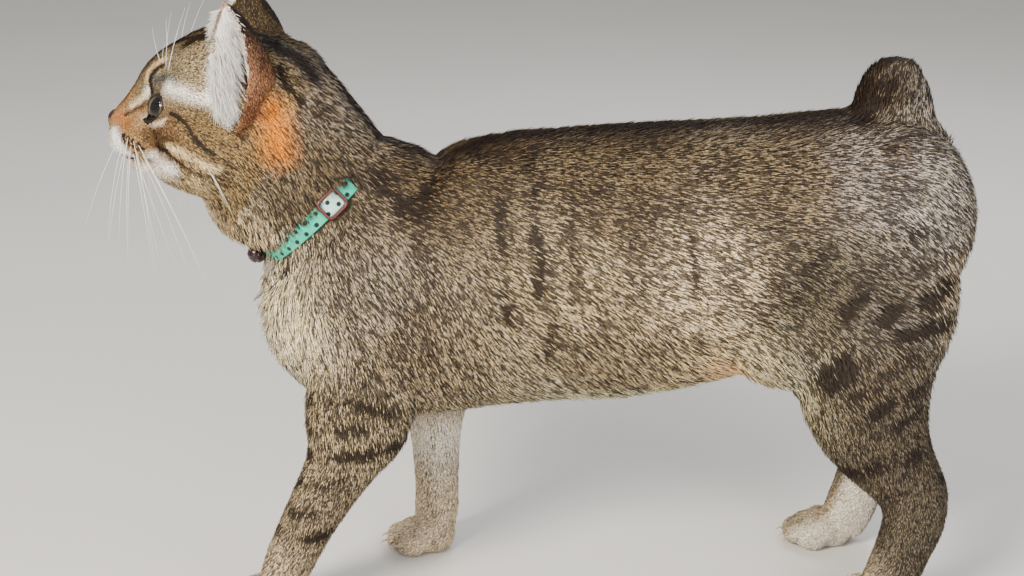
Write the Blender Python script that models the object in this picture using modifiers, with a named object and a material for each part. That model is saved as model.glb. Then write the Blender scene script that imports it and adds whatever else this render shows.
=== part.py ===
"""A short-tailed cat standing still with its head raised, modelled at life size.

Units are metres and +Z is up. The cat faces -Y, its left side is +X, and the floor is z = 0 with the
origin on it, in the middle of the animal's length and width. Each form is a loft or an ellipsoid, the
forms of one region are fused into one surface, and that surface is parted by thin cuts into the pieces
that a person would name.
"""

import math
from dataclasses import dataclass

import bmesh
import bpy
from mathutils import Matrix, Vector

# Gaps and mesh fineness
GAP = 0.0003
BODY_VOXEL = 0.0025
FINE_VOXEL = 0.0012
BODY_TRIANGLES = 4600
HEAD_TRIANGLES = 3450
PAW_TRIANGLES = {"fore": 780, "hind": 1000}
REACH = 0.6

# Where the head sits and how far its nose is raised
HEAD_ORIGIN = Vector((0.0, -0.165, 0.285))
HEAD_PITCH = math.radians(15)

# Where the neck piece ends below the collar, and the flat cuts through the body
NECK_BELOW_COLLAR = 0.012
HEAD_CUT = (Vector((0.0, -0.1530, 0.2770)), Vector((0.0, 0.846, -0.533)))
CHEST_FLOOR = ((0.0, 0.0, 0.190), (0.0, 0.0, -1.0))
STUMP_CUTS = [((0.0, 0.20, 0.3005), (0.0, 0.0, -1.0)), ((0.0, 0.16, 0.30), (0.0, -1.0, 0.0))]
KNEE_CUT = ((0.0, 0.190, 0.1200), (0.0, -0.25, 1.0))
HOCK_CUT = ((0.0, 0.2210, 0.0660), (0.0, 0.25, 1.0))
FLANK_CUT = ((0.0, 0.126, 0.170), (0.0, -1.0, -0.35))
ABOVE_FLOOR = ((0.0, 0.0, 0.0), (0.0, 0.0, -1.0))
MIDLINE_CLEARANCE = 0.010

# Collar: a band in a plane that rises from the throat to the nape
COLLAR_CENTRE = Vector((0.0, -0.1264, 0.2424))
COLLAR_SLOPE = math.radians(43)
COLLAR_HALF_DEPTH = 0.0420
COLLAR_HALF_WIDTH = 0.0400
COLLAR_WIDTH = 0.010
COLLAR_THICKNESS = 0.0016
COLLAR_FUR = 0.0045
BELL_CENTRE = Vector((0.0, -0.1658, 0.2114))
BELL_RADIUS = 0.0060
SLIDER_ANGLE = 19.0
SLIDER_SIZE = (0.0160, 0.0140)
SLIDER_BAR = 0.0021
SLIDER_THICKNESS = 0.0020
SLIDER_SAG = 0.0008

# Eyes
EYE_RADIUS = 0.0108
EYE_CENTRE = Vector((0.0171, 0.0462, 0.0050))
EYE_OUTWARD = math.radians(33)
EYE_SLANT = math.radians(15)
EYE_WIDTH = 0.0215
EYE_LIFT = 0.0072
EYE_DROP = 0.0066
LID_THICKNESS = 0.0013

# Mouth and nose: radii of the groove between the lips, of the cleft under the nose and of a nostril
MOUTH_LINE = 0.0012
CLEFT_LINE = 0.0008
NOSTRIL_RADII = (0.0016, 0.0032, 0.0013)

# Ears
EAR_THICKNESS = 0.0024
EAR_CUP = Vector((0.0325, 0.0010, 0.0360))
EAR_CUP_RADII = (0.0090, 0.0080, 0.0125)

# Feet: toe sizes across, along and up, and how the four toes stand in each foot
TOE_RADII = (0.0062, 0.0105, 0.0085)
TOE_FAN = ((-0.0128, 0.0070, 12.0), (-0.0046, 0.0140, 4.0), (0.0046, 0.0140, -4.0), (0.0128, 0.0070, -12.0))


@dataclass(frozen=True)
class Section:
    """One cross-section of a form: its centre, the tilt of its plane, and its half sizes."""

    centre: tuple[float, float, float]
    tilt: float
    half_width: float
    half_up: float
    half_down: float
    power: float = 2.3


def clear_scene() -> None:
    """Remove every object that the file opened with."""
    for thing in list(bpy.data.objects):
        bpy.data.objects.remove(thing, do_unlink=True)


def collection(name: str) -> bpy.types.Collection:
    """A collection linked to the scene."""
    made = bpy.data.collections.new(name)
    bpy.context.scene.collection.children.link(made)
    return made


def material(name: str, colour: tuple[float, float, float], roughness: float, metallic: float = 0.0):
    """A Principled material with the part's colour."""
    made = bpy.data.materials.new(name)
    made.use_nodes = True
    shader = made.node_tree.nodes["Principled BSDF"]
    shader.inputs["Base Color"].default_value = (*colour, 1.0)
    shader.inputs["Roughness"].default_value = roughness
    shader.inputs["Metallic"].default_value = metallic
    return made


def spline_rows(rows: list[tuple[float, ...]], per_span: int) -> list[tuple[float, ...]]:
    """Rows of numbers filled in by a Catmull-Rom curve through the rows given."""
    filled = []
    for span in range(len(rows) - 1):
        before = rows[max(span - 1, 0)]
        start, end = rows[span], rows[span + 1]
        after = rows[min(span + 2, len(rows) - 1)]
        for step in range(per_span):
            t = step / per_span
            weights = (
                -0.5 * t + t * t - 0.5 * t**3,
                1.0 - 2.5 * t * t + 1.5 * t**3,
                0.5 * t + 2.0 * t * t - 1.5 * t**3,
                -0.5 * t * t + 0.5 * t**3,
            )
            columns = zip(before, start, end, after)
            filled.append(tuple(sum(w * v for w, v in zip(weights, column)) for column in columns))
    filled.append(tuple(rows[-1]))
    return filled


def add_object(name: str, mesh_edit: bmesh.types.BMesh, group: bpy.types.Collection) -> bpy.types.Object:
    """An object made from an edit mesh, with its faces outward."""
    bmesh.ops.recalc_face_normals(mesh_edit, faces=mesh_edit.faces)
    mesh = bpy.data.meshes.new(name)
    mesh_edit.to_mesh(mesh)
    mesh_edit.free()
    made = bpy.data.objects.new(name, mesh)
    group.objects.link(made)
    return made


def loft(name: str, sections: list[Section], group, per_span: int = 5, sides: int = 48) -> bpy.types.Object:
    """A closed form through superellipse sections, whose planes tilt about the X axis."""
    rows = spline_rows(
        [(*s.centre, s.tilt, s.half_width, s.half_up, s.half_down, s.power) for s in sections], per_span
    )
    edit = bmesh.new()
    rings = []
    for x, y, z, tilt, half_width, half_up, half_down, power in rows:
        up = Vector((0.0, -math.sin(tilt), math.cos(tilt)))
        ring = []
        for side in range(sides):
            angle = math.tau * side / sides
            cosine, sine = math.cos(angle), math.sin(angle)
            across = math.copysign(abs(cosine) ** (2 / power), cosine) * half_width
            height = math.copysign(abs(sine) ** (2 / power), sine) * (half_up if sine > 0 else half_down)
            ring.append(edit.verts.new(Vector((x + across, y, z)) + up * height))
        rings.append(ring)
    for lower, upper in zip(rings, rings[1:]):
        for side in range(sides):
            after = (side + 1) % sides
            edit.faces.new((lower[side], lower[after], upper[after], upper[side]))
    edit.faces.new(reversed(rings[0]))
    edit.faces.new(rings[-1])
    return add_object(name, edit, group)


def ellipsoid(name: str, centre, radii, group, turn: Matrix | None = None) -> bpy.types.Object:
    """An ellipsoid from a sphere primitive, turned about its own centre."""
    edit = bmesh.new()
    bmesh.ops.create_uvsphere(edit, u_segments=24, v_segments=16, radius=1.0)
    bmesh.ops.scale(edit, vec=Vector(radii), verts=edit.verts)
    if turn is not None:
        bmesh.ops.transform(edit, matrix=turn, verts=edit.verts)
    bmesh.ops.translate(edit, vec=Vector(centre), verts=edit.verts)
    return add_object(name, edit, group)


def from_head(point) -> Vector:
    """World place of a point given as (left, forward, up) in the head's own frame."""
    left, forward, up = point
    return HEAD_ORIGIN + Vector(
        (
            left,
            -(forward * math.cos(HEAD_PITCH) - up * math.sin(HEAD_PITCH)),
            forward * math.sin(HEAD_PITCH) + up * math.cos(HEAD_PITCH),
        )
    )


def head_turn(turn: Matrix | None = None) -> Matrix:
    """The head frame's rotation, applied after a turn inside that frame (left, forward, up)."""
    axes = Matrix(
        (
            (1.0, 0.0, 0.0),
            (0.0, -math.cos(HEAD_PITCH), math.sin(HEAD_PITCH)),
            (0.0, math.sin(HEAD_PITCH), math.cos(HEAD_PITCH)),
        )
    ).to_4x4()
    return axes if turn is None else axes @ turn


def mirrored(point, side: int) -> tuple[float, float, float]:
    """A left-side point moved to the side given: +1 is left, -1 is right."""
    return (point[0] * side, point[1], point[2])


def evaluated_mesh(thing: bpy.types.Object) -> bpy.types.Mesh:
    """The mesh of an object with its modifiers."""
    graph = bpy.context.evaluated_depsgraph_get()
    graph.update()
    return bpy.data.meshes.new_from_object(thing.evaluated_get(graph))


def settle(thing: bpy.types.Object) -> None:
    """Apply an object's modifiers to its mesh."""
    mesh = evaluated_mesh(thing)
    thing.modifiers.clear()
    thing.data = mesh


def fuse(name: str, forms: list[bpy.types.Object], voxel: float, rounds: int, triangles: int, group):
    """One closed surface round all the forms, smoothed, and brought down to a number of triangles if given."""
    edit = bmesh.new()
    for form in forms:
        edit.from_mesh(form.data)
    fused = add_object(name, edit, group)
    remesh = fused.modifiers.new("surface", "REMESH")
    remesh.mode = "VOXEL"
    remesh.voxel_size = voxel
    smooth = fused.modifiers.new("smooth", "SMOOTH")
    smooth.factor = 0.5
    smooth.iterations = rounds
    settle(fused)
    if not triangles:
        return fused
    thin = fused.modifiers.new("thin", "DECIMATE")
    thin.ratio = min(1.0, triangles / (2.0 * len(fused.data.polygons)))
    thin.use_collapse_triangulate = True
    settle(fused)
    return fused


def boolean(thing: bpy.types.Object, cutter: bpy.types.Object, operation: str) -> None:
    """Cut or join an object with another, applied at once."""
    step = thing.modifiers.new("boolean", "BOOLEAN")
    step.operation = operation
    step.solver = "EXACT"
    step.object = cutter
    settle(thing)


def keep_largest(thing: bpy.types.Object) -> None:
    """Keep only the closed surface with the most vertices."""
    edit = bmesh.new()
    edit.from_mesh(thing.data)
    edit.verts.ensure_lookup_table()
    unseen = set(edit.verts)
    shells = []
    while unseen:
        edge_of_search = [unseen.pop()]
        shell = set(edge_of_search)
        while edge_of_search:
            for edge in edge_of_search.pop().link_edges:
                for vertex in edge.verts:
                    if vertex in unseen:
                        unseen.remove(vertex)
                        shell.add(vertex)
                        edge_of_search.append(vertex)
        shells.append(shell)
    shells.sort(key=len, reverse=True)
    spare = [vertex for shell in shells[1:] for vertex in shell]
    bmesh.ops.delete(edit, geom=spare, context="VERTS")
    edit.to_mesh(thing.data)
    edit.free()


def cell(planes, shift: float, group) -> bpy.types.Object:
    """The convex space behind every plane, each given as a point and an outward direction."""
    edit = bmesh.new()
    bmesh.ops.create_cube(edit, size=2 * REACH)
    for point, outward in planes:
        direction = Vector(outward).normalized()
        place = Vector(point) + direction * shift
        cut = bmesh.ops.bisect_plane(
            edit,
            geom=edit.verts[:] + edit.edges[:] + edit.faces[:],
            plane_co=place,
            plane_no=direction,
            clear_outer=True,
        )
        rim = [item for item in cut["geom_cut"] if isinstance(item, bmesh.types.BMEdge)]
        bmesh.ops.contextual_create(edit, geom=rim)
    return add_object("cell", edit, group)


def part_off(body: bpy.types.Object, name: str, planes, group, cutters) -> bpy.types.Object:
    """Part a piece from a body: what lies behind the planes, with a thin gap left between the two."""
    inner = cell(planes, -GAP / 2, cutters)
    outer = cell(planes, GAP / 2, cutters)
    piece = bpy.data.objects.new(name, body.data.copy())
    group.objects.link(piece)
    boolean(piece, inner, "INTERSECT")
    keep_largest(piece)
    boolean(body, outer, "DIFFERENCE")
    keep_largest(body)
    for cutter in (inner, outer):
        bpy.data.objects.remove(cutter, do_unlink=True)
    return piece


def trunk_forms(group) -> list[bpy.types.Object]:
    """Chest, belly, rump and the masses of the shoulders and thighs."""
    profile = [
        (-0.1610, 0.1990, 0.1720, 0.0240),
        (-0.1520, 0.2140, 0.1460, 0.0380),
        (-0.1200, 0.2400, 0.1180, 0.0500),
        (-0.0900, 0.2620, 0.1120, 0.0550),
        (-0.0600, 0.2690, 0.1150, 0.0565),
        (-0.0250, 0.2820, 0.1205, 0.0580),
        (0.0100, 0.2855, 0.1240, 0.0600),
        (0.0500, 0.2880, 0.1260, 0.0630),
        (0.0945, 0.2900, 0.1350, 0.0640),
        (0.1300, 0.2920, 0.1450, 0.0640),
        (0.1650, 0.2955, 0.1550, 0.0630),
        (0.2000, 0.2975, 0.1680, 0.0600),
        (0.2250, 0.2930, 0.1840, 0.0520),
        (0.2400, 0.2740, 0.2020, 0.0400),
        (0.2470, 0.2560, 0.2180, 0.0220),
    ]
    sections = []
    for y, top, bottom, half_width in profile:
        half = (top - bottom) / 2
        sections.append(Section((0.0, y, (top + bottom) / 2), 0.0, half_width, half, half, 2.35))
    forms = [loft("trunk", sections, group)]
    forms.append(ellipsoid("scruff", (0.0, -0.0830, 0.2495), (0.034, 0.030, 0.0295), group))
    for side in (1, -1):
        ahead = 0.0 if side == 1 else 0.020
        forms.append(
            ellipsoid("shoulder", (0.036 * side, -0.098 + ahead, 0.180), (0.024, 0.044, 0.066), group)
        )
        forms.append(ellipsoid("blade", (0.022 * side, -0.030, 0.232), (0.026, 0.048, 0.046), group))
        forms.append(ellipsoid("thigh", (0.040 * side, 0.186, 0.194), (0.0275, 0.054, 0.066), group))
        forms.append(ellipsoid("flank", (0.045 * side, 0.142, 0.171), (0.0170, 0.035, 0.028), group))
        forms.append(ellipsoid("hip", (0.030 * side, 0.200, 0.240), (0.030, 0.048, 0.056), group))
    return forms


def neck_form(group) -> bpy.types.Object:
    """The neck, from inside the chest to inside the skull, fuller at the throat than at the nape."""
    spine = [
        (-0.0800, 0.2050, 40.0, 0.0440, 0.0510, 0.0500),
        (-0.1080, 0.2280, 43.0, 0.0435, 0.0530, 0.0490),
        (-0.1235, 0.2420, 43.0, 0.0418, 0.0515, 0.0450),
        (-0.1360, 0.2560, 43.0, 0.0428, 0.0530, 0.0570),
        (-0.1570, 0.2820, 40.0, 0.0420, 0.0540, 0.0555),
        (-0.1720, 0.3010, 30.0, 0.0400, 0.0480, 0.0490),
    ]
    sections = [
        Section((0.0, y, z), -math.radians(slope), half_width, above, below, 2.2)
        for y, z, slope, half_width, above, below in spine
    ]
    return loft("neck_form", sections, group)


def head_mass(name: str, place, radii, group) -> bpy.types.Object:
    """An ellipsoid given in the head's own frame, as (left, forward, up)."""
    return ellipsoid(name, from_head(place), radii, group, head_turn())


def skull_forms(group) -> list[bpy.types.Object]:
    """The broad masses of the head: nose bridge, forehead, cranium, cheekbones and jaw."""
    bridge = [
        (0.0800, -0.0105, -0.0200, 0.0066),
        (0.0768, -0.0036, -0.0238, 0.0082),
        (0.0735, 0.0024, -0.0262, 0.0091),
        (0.0712, 0.0085, -0.0274, 0.0100),
        (0.0670, 0.0160, -0.0280, 0.0116),
        (0.0610, 0.0210, -0.0300, 0.0158),
        (0.0540, 0.0290, -0.0320, 0.0190),
        (0.0420, 0.0340, -0.0360, 0.0240),
        (0.0250, 0.0360, -0.0400, 0.0290),
    ]
    forehead = [
        (0.0698, 0.0125, 0.0030, 0.0050),
        (0.0685, 0.0178, 0.0030, 0.0076),
        (0.0664, 0.0228, 0.0040, 0.0100),
        (0.0625, 0.0292, 0.0050, 0.0132),
        (0.0572, 0.0355, 0.0060, 0.0166),
        (0.0500, 0.0415, 0.0070, 0.0205),
        (0.0390, 0.0475, 0.0080, 0.0250),
        (0.0250, 0.0525, 0.0080, 0.0290),
    ]
    forms = []
    for name, rows, power in (("bridge", bridge, 2.5), ("forehead", forehead, 2.1)):
        sections = []
        for forward, top, bottom, half_width in rows:
            half = (top - bottom) / 2
            centre = from_head((0.0, forward, (top + bottom) / 2))
            sections.append(Section(tuple(centre), -HEAD_PITCH, half_width, half, half, power))
        forms.append(loft(name, sections, group))
    forms.append(head_mass("cranium", (0.0, 0.0120, 0.0180), (0.0375, 0.0480, 0.0405), group))
    forms.append(head_mass("occiput", (0.0, -0.0120, 0.0100), (0.0390, 0.0330, 0.0480), group))
    forms.append(head_mass("jaw", (0.0, 0.0250, -0.0260), (0.0250, 0.0340, 0.0185), group))
    pairs = [
        ("cheek", (0.0255, 0.0180, -0.0110), (0.0190, 0.0290, 0.0270)),
        ("cheekbone", (0.0250, 0.0350, -0.0040), (0.0140, 0.0170, 0.0150)),
        ("maxilla", (0.0125, 0.0500, -0.0120), (0.0140, 0.0190, 0.0125)),
        ("brow", (0.0160, 0.0420, 0.0165), (0.0140, 0.0125, 0.0105)),
        ("ear_root", (0.0290, -0.0020, 0.0250), (0.0150, 0.0160, 0.0200)),
    ]
    for name, place, radii in pairs:
        for side in (1, -1):
            forms.append(head_mass(name, mirrored(place, side), radii, group))
    return forms


def face_forms(group) -> list[bpy.types.Object]:
    """The finer forms of the face: whisker pads, chin, nose and the lids' bulges."""
    forms = [
        head_mass("chin", (0.0, 0.0560, -0.0325), (0.0105, 0.0105, 0.0078), group),
        head_mass("nose", (0.0, 0.0765, -0.0132), (0.0058, 0.0058, 0.0060), group),
    ]
    for side in (1, -1):
        forms.append(head_mass("nose_wing", (0.0050 * side, 0.0757, -0.0130), (0.0038, 0.0046, 0.0042), group))
        forms.append(head_mass("pad", (0.0092 * side, 0.0655, -0.0210), (0.0102, 0.0128, 0.0106), group))
        forms.append(head_mass("pad_rear", (0.0140 * side, 0.0550, -0.0190), (0.0105, 0.0140, 0.0100), group))
        forms.append(head_mass("lower_lid", (0.0190 * side, 0.0475, -0.0030), (0.0100, 0.0100, 0.0070), group))
        forms.append(sphere("lid", from_head(mirrored(EYE_CENTRE, side)), EYE_RADIUS + LID_THICKNESS, group))
    return forms


def limb_sections(x: float, rows) -> list[Section]:
    """Sections of a limb from rows of y, z, half depth, half width and lean in degrees."""
    return [
        Section((x, y, z), math.radians(90 - lean), half_width, half, half, 2.1)
        for y, z, half, half_width, lean in rows
    ]


def fore_rows(side: int):
    """The foreleg's course: the left one reaches forward and the right one stands upright."""
    if side == 1:
        return [
            (-0.0950, 0.1950, 0.0200, 0.0110, 10.0),
            (-0.1000, 0.1550, 0.0320, 0.0185, 14.0),
            (-0.1070, 0.1180, 0.0315, 0.0195, 18.0),
            (-0.1165, 0.0940, 0.0215, 0.0175, 26.0),
            (-0.1330, 0.0640, 0.0175, 0.0160, 28.0),
            (-0.1455, 0.0390, 0.0156, 0.0153, 26.0),
            (-0.1530, 0.0220, 0.0140, 0.0150, 26.0),
            (-0.1570, 0.0120, 0.0120, 0.0150, 26.0),
        ]
    return [
        (-0.0680, 0.1950, 0.0200, 0.0110, -8.0),
        (-0.0640, 0.1550, 0.0290, 0.0185, -6.0),
        (-0.0630, 0.1150, 0.0245, 0.0190, -4.0),
        (-0.0640, 0.0880, 0.0175, 0.0165, 0.0),
        (-0.0640, 0.0550, 0.0148, 0.0148, 0.0),
        (-0.0640, 0.0340, 0.0145, 0.0147, 0.0),
        (-0.0650, 0.0200, 0.0136, 0.0145, 4.0),
        (-0.0660, 0.0110, 0.0120, 0.0145, 6.0),
    ]


def hind_rows(side: int):
    """The hind leg's course from thigh to foot, the right one standing a little further forward."""
    ahead = 0.0 if side == 1 else -0.006
    return [
        (0.2020, 0.2350, 0.0200, 0.0110, -8.0),
        (0.1960, 0.1900, 0.0400, 0.0230, -8.0),
        (0.1875, 0.1520, 0.0400, 0.0240, -6.0),
        (0.1920 + ahead * 0.3, 0.1220, 0.0345, 0.0215, -14.0),
        (0.2050 + ahead * 0.5, 0.0990, 0.0265, 0.0180, -24.0),
        (0.2195 + ahead * 0.8, 0.0780, 0.0215, 0.0162, -14.0),
        (0.2215 + ahead, 0.0600, 0.0186, 0.0150, 8.0),
        (0.2160 + ahead, 0.0400, 0.0165, 0.0145, 14.0),
        (0.2100 + ahead, 0.0220, 0.0160, 0.0152, 20.0),
        (0.2060 + ahead, 0.0110, 0.0140, 0.0150, 20.0),
    ]


FORE_X = {1: 0.0420, -1: -0.0380}
FORE_SPAN = {1: (-0.1900, -0.0640), -1: (-0.1000, -0.0300)}
HIND_X = {1: 0.0470, -1: -0.0470}
FORE_PAW_Y = {1: -0.1640, -1: -0.0730}
HIND_PAW_Y = {1: 0.1920, -1: 0.1860}


def foot_forms(x: float, y: float, length: float, group) -> list[bpy.types.Object]:
    """A foot's pad and its four toes, each a knuckle with a tip before it, dipping below the floor."""
    forms = [ellipsoid("pad", (x, y + 0.006, 0.0100), (0.0155, 0.0150 + length, 0.0130), group)]
    for across, ahead, splay in TOE_FAN:
        turn = Matrix.Rotation(math.radians(splay), 4, "Z")
        place = (x + across, y - ahead, 0.0078)
        forms.append(ellipsoid("toe", place, TOE_RADII, group, turn))
        knuckle = (x + across * 0.92, y - ahead + 0.008, 0.0125)
        forms.append(ellipsoid("knuckle", knuckle, (0.0060, 0.0090, 0.0080), group, turn))
    return forms


def stump_form(group) -> bpy.types.Object:
    """The tail's stump: a rounded knob that leans back over the rump."""
    rows = [
        (0.2050, 0.2740, 0.0230, 0.0260, 0.0240),
        (0.2045, 0.2900, 0.0215, 0.0260, 0.0240),
        (0.2035, 0.3040, 0.0200, 0.0240, 0.0215),
        (0.2025, 0.3160, 0.0180, 0.0185, 0.0175),
        (0.2030, 0.3240, 0.0135, 0.0135, 0.0125),
        (0.2035, 0.3278, 0.0060, 0.0060, 0.0060),
    ]
    sections = [
        Section((0.0, y, z), math.pi / 2, half_width, front, back, 2.1)
        for y, z, half_width, front, back in rows
    ]
    return loft("stump", sections, group)


def eye_turn(side: int) -> Matrix:
    """The eye's own frame in the world: its Y axis looks out of the eye."""
    return head_turn(Matrix.Rotation(-EYE_OUTWARD * side, 4, "Z"))


def eye_cutters(side: int, group) -> list[bpy.types.Object]:
    """What opens the head for one eye: the ball's socket and the slanted almond between the lids."""
    centre = from_head(mirrored(EYE_CENTRE, side))
    socket = sphere("socket", centre, EYE_RADIUS + GAP, group)
    edit = bmesh.new()
    rings = []
    for depth, spread in ((0.0030, 0.92), (0.0200, 1.35)):
        ring = []
        for step in range(28):
            angle = math.tau * step / 28
            across = math.cos(angle)
            height = EYE_LIFT if math.sin(angle) > 0 else EYE_DROP
            up = math.copysign(abs(math.sin(angle)) ** 1.25, math.sin(angle)) * height
            slanted = up + across * math.tan(EYE_SLANT) * EYE_WIDTH / 2
            place = (across * side * EYE_WIDTH / 2 * spread, depth, slanted * spread)
            ring.append(edit.verts.new(place))
        rings.append(ring)
    for step in range(28):
        after = (step + 1) % 28
        edit.faces.new((rings[0][step], rings[0][after], rings[1][after], rings[1][step]))
    edit.faces.new(rings[0])
    edit.faces.new(reversed(rings[1]))
    bmesh.ops.transform(edit, matrix=Matrix.Translation(centre) @ eye_turn(side), verts=edit.verts)
    return [socket, add_object("opening", edit, group)]


def sphere(name: str, centre, radius: float, group) -> bpy.types.Object:
    """A sphere of even triangles."""
    edit = bmesh.new()
    bmesh.ops.create_icosphere(edit, subdivisions=3, radius=radius)
    bmesh.ops.translate(edit, vec=Vector(centre), verts=edit.verts)
    return add_object(name, edit, group)


def tube(name: str, points, radius: float, group) -> bpy.types.Object:
    """A closed round tube through points, made from a bevelled curve."""
    curve = bpy.data.curves.new(name, "CURVE")
    curve.dimensions = "3D"
    curve.bevel_depth = radius
    curve.bevel_resolution = 1
    curve.use_fill_caps = True
    spline = curve.splines.new("POLY")
    spline.points.add(len(points) - 1)
    for target, point in zip(spline.points, points):
        target.co = (*point, 1.0)
    made = bpy.data.objects.new(name, curve)
    group.objects.link(made)
    mesh = evaluated_mesh(made)
    bpy.data.objects.remove(made, do_unlink=True)
    edit = bmesh.new()
    edit.from_mesh(mesh)
    bmesh.ops.remove_doubles(edit, verts=edit.verts, dist=0.00001)
    return add_object(name, edit, group)


def mouth_cutters(head: bpy.types.Object, group) -> list[bpy.types.Object]:
    """Grooves that follow the skin: the lips' line on both sides and the cleft below the nose."""
    half_line = [
        (0.0000, 0.0740, -0.0285),
        (0.0060, 0.0720, -0.0312),
        (0.0125, 0.0650, -0.0308),
        (0.0180, 0.0560, -0.0275),
        (0.0220, 0.0460, -0.0245),
        (0.0250, 0.0360, -0.0238),
    ]
    course = spline_rows(half_line, 3)
    whole = [mirrored(p, -1) for p in reversed(course[1:])] + course
    cleft = [(0.0, 0.0800, -0.0200), (0.0, 0.0780, -0.0240), (0.0, 0.0755, -0.0290)]
    made = []
    for name, line, radius in (("lips", whole, MOUTH_LINE), ("cleft", cleft, CLEFT_LINE)):
        on_skin = [head.closest_point_on_mesh(from_head(p))[1] for p in line]
        made.append(tube(name, on_skin, radius, group))
    return made


def nostril_cutters(group) -> list[bpy.types.Object]:
    """The two comma-shaped nostrils."""
    made = []
    for side in (1, -1):
        turn = head_turn(Matrix.Rotation(math.radians(-35 * side), 4, "Z"))
        place = from_head((0.0040 * side, 0.0805, -0.0140))
        made.append(ellipsoid("nostril", place, NOSTRIL_RADII, group, turn))
    return made


def ear_margins() -> tuple[list, list]:
    """The left ear's inner and outer margins from root to tip, in the head's frame."""
    inner = [
        (0.0120, 0.0280, 0.0330),
        (0.0135, 0.0310, 0.0450),
        (0.0195, 0.0310, 0.0575),
        (0.0290, 0.0290, 0.0675),
        (0.0375, 0.0264, 0.0742),
    ]
    outer = [
        (0.0400, 0.0060, 0.0060),
        (0.0450, 0.0020, 0.0190),
        (0.0478, 0.0030, 0.0370),
        (0.0460, 0.0120, 0.0570),
        (0.0380, 0.0260, 0.0744),
    ]
    return spline_rows(inner, 3), spline_rows(outer, 3)


def ear(side: int, group) -> bpy.types.Object:
    """An ear as a cupped shell: a sheet that bulges back between its two margins, given thickness."""
    inner, outer = ear_margins()
    edit = bmesh.new()
    across = 10
    rows = []
    for index, (start, end) in enumerate(zip(inner, outer)):
        height = index / (len(inner) - 1)
        depth = 0.0335 * (1.0 - height) ** 0.72 + 0.0012
        row = []
        for step in range(across + 1):
            t = step / across
            hollow = math.sin(math.pi * t) ** 0.75 * depth
            lean = Vector((-0.10, -0.97, 0.05))
            place = Vector(start).lerp(Vector(end), t) + lean * hollow
            row.append(edit.verts.new(from_head(mirrored(place, side))))
        rows.append(row)
    for lower, upper in zip(rows, rows[1:]):
        for step in range(across):
            edit.faces.new((lower[step], lower[step + 1], upper[step + 1], upper[step]))
    bmesh.ops.recalc_face_normals(edit, faces=edit.faces)
    mesh = bpy.data.meshes.new("ear")
    edit.to_mesh(mesh)
    edit.free()
    made = bpy.data.objects.new("ear_left" if side == 1 else "ear_right", mesh)
    group.objects.link(made)
    shell = made.modifiers.new("thickness", "SOLIDIFY")
    shell.thickness = EAR_THICKNESS
    shell.offset = 0.0
    settle(made)
    return made


def grown(thing: bpy.types.Object, distance: float, group) -> bpy.types.Object:
    """A copy of a body with its surface moved outward."""
    copy = bpy.data.objects.new("grown", thing.data.copy())
    group.objects.link(copy)
    push = copy.modifiers.new("push", "DISPLACE")
    push.strength = distance
    push.mid_level = 0.0
    settle(copy)
    return copy


def collar_frame() -> Matrix:
    """The collar's frame: X across, Y up the collar's plane towards the nape, Z along the neck."""
    up = Vector((0.0, math.cos(COLLAR_SLOPE), math.sin(COLLAR_SLOPE)))
    along = Vector((1.0, 0.0, 0.0)).cross(up)
    turn = Matrix((Vector((1.0, 0.0, 0.0)), up, along)).transposed().to_4x4()
    return Matrix.Translation(COLLAR_CENTRE) @ turn


def band(name: str, inside: float, outside: float, width: float, group, sides: int = 40) -> bpy.types.Object:
    """An oval band in the collar's frame, its walls set off from the collar's inner line."""
    edit = bmesh.new()
    walls = []
    for offset, height in ((inside, -width / 2), (outside, -width / 2), (outside, width / 2), (inside, width / 2)):
        ring = []
        for side in range(sides):
            angle = math.tau * side / sides
            place = Vector(
                (
                    math.cos(angle) * (COLLAR_HALF_WIDTH + offset),
                    math.sin(angle) * (COLLAR_HALF_DEPTH + offset),
                    height,
                )
            )
            ring.append(edit.verts.new(collar_frame() @ place))
        walls.append(ring)
    for first, second in zip(walls, walls[1:] + walls[:1]):
        for side in range(sides):
            after = (side + 1) % sides
            edit.faces.new((first[side], first[after], second[after], second[side]))
    return add_object(name, edit, group)


def slider_place() -> Matrix:
    """Where the slider lies on the band: X along the band, Y across it, Z out of the neck."""
    angle = math.radians(SLIDER_ANGLE)
    radial = Vector((math.cos(angle), math.sin(angle), 0.0))
    tangent = Vector((-radial.y, radial.x, 0.0))
    on_band = Vector((radial.x * COLLAR_HALF_WIDTH, radial.y * COLLAR_HALF_DEPTH, 0.0))
    lift = COLLAR_THICKNESS + 2 * GAP + SLIDER_SAG
    turn = Matrix((tangent, Vector((0.0, 0.0, 1.0)), radial)).transposed().to_4x4()
    return collar_frame() @ Matrix.Translation(on_band + radial * lift) @ turn


def slider(group) -> bpy.types.Object:
    """The collar's rectangular slider on the left side: a rounded frame round the webbing."""
    frame = box("collar_slider", (0.0, 0.0, SLIDER_THICKNESS / 2), (*SLIDER_SIZE, SLIDER_THICKNESS), group)
    rounding = frame.modifiers.new("rounding", "BEVEL")
    rounding.width = SLIDER_THICKNESS * 0.3
    rounding.segments = 2
    settle(frame)
    window_size = (SLIDER_SIZE[0] - 2 * SLIDER_BAR, SLIDER_SIZE[1] - 2 * SLIDER_BAR, 0.01)
    window = box("window", (0.0, 0.0, 0.0), window_size, group)
    boolean(frame, window, "DIFFERENCE")
    bpy.data.objects.remove(window, do_unlink=True)
    frame.data.transform(slider_place())
    return frame


def slider_pocket(group) -> bpy.types.Object:
    """The room that the slider takes out of the fur round it."""
    depth = 0.03
    size = (SLIDER_SIZE[0] + 2 * GAP, SLIDER_SIZE[1] + 2 * GAP, depth)
    pocket = box("slider_pocket", (0.0, 0.0, depth / 2 - GAP), size, group)
    pocket.data.transform(slider_place())
    return pocket


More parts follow.
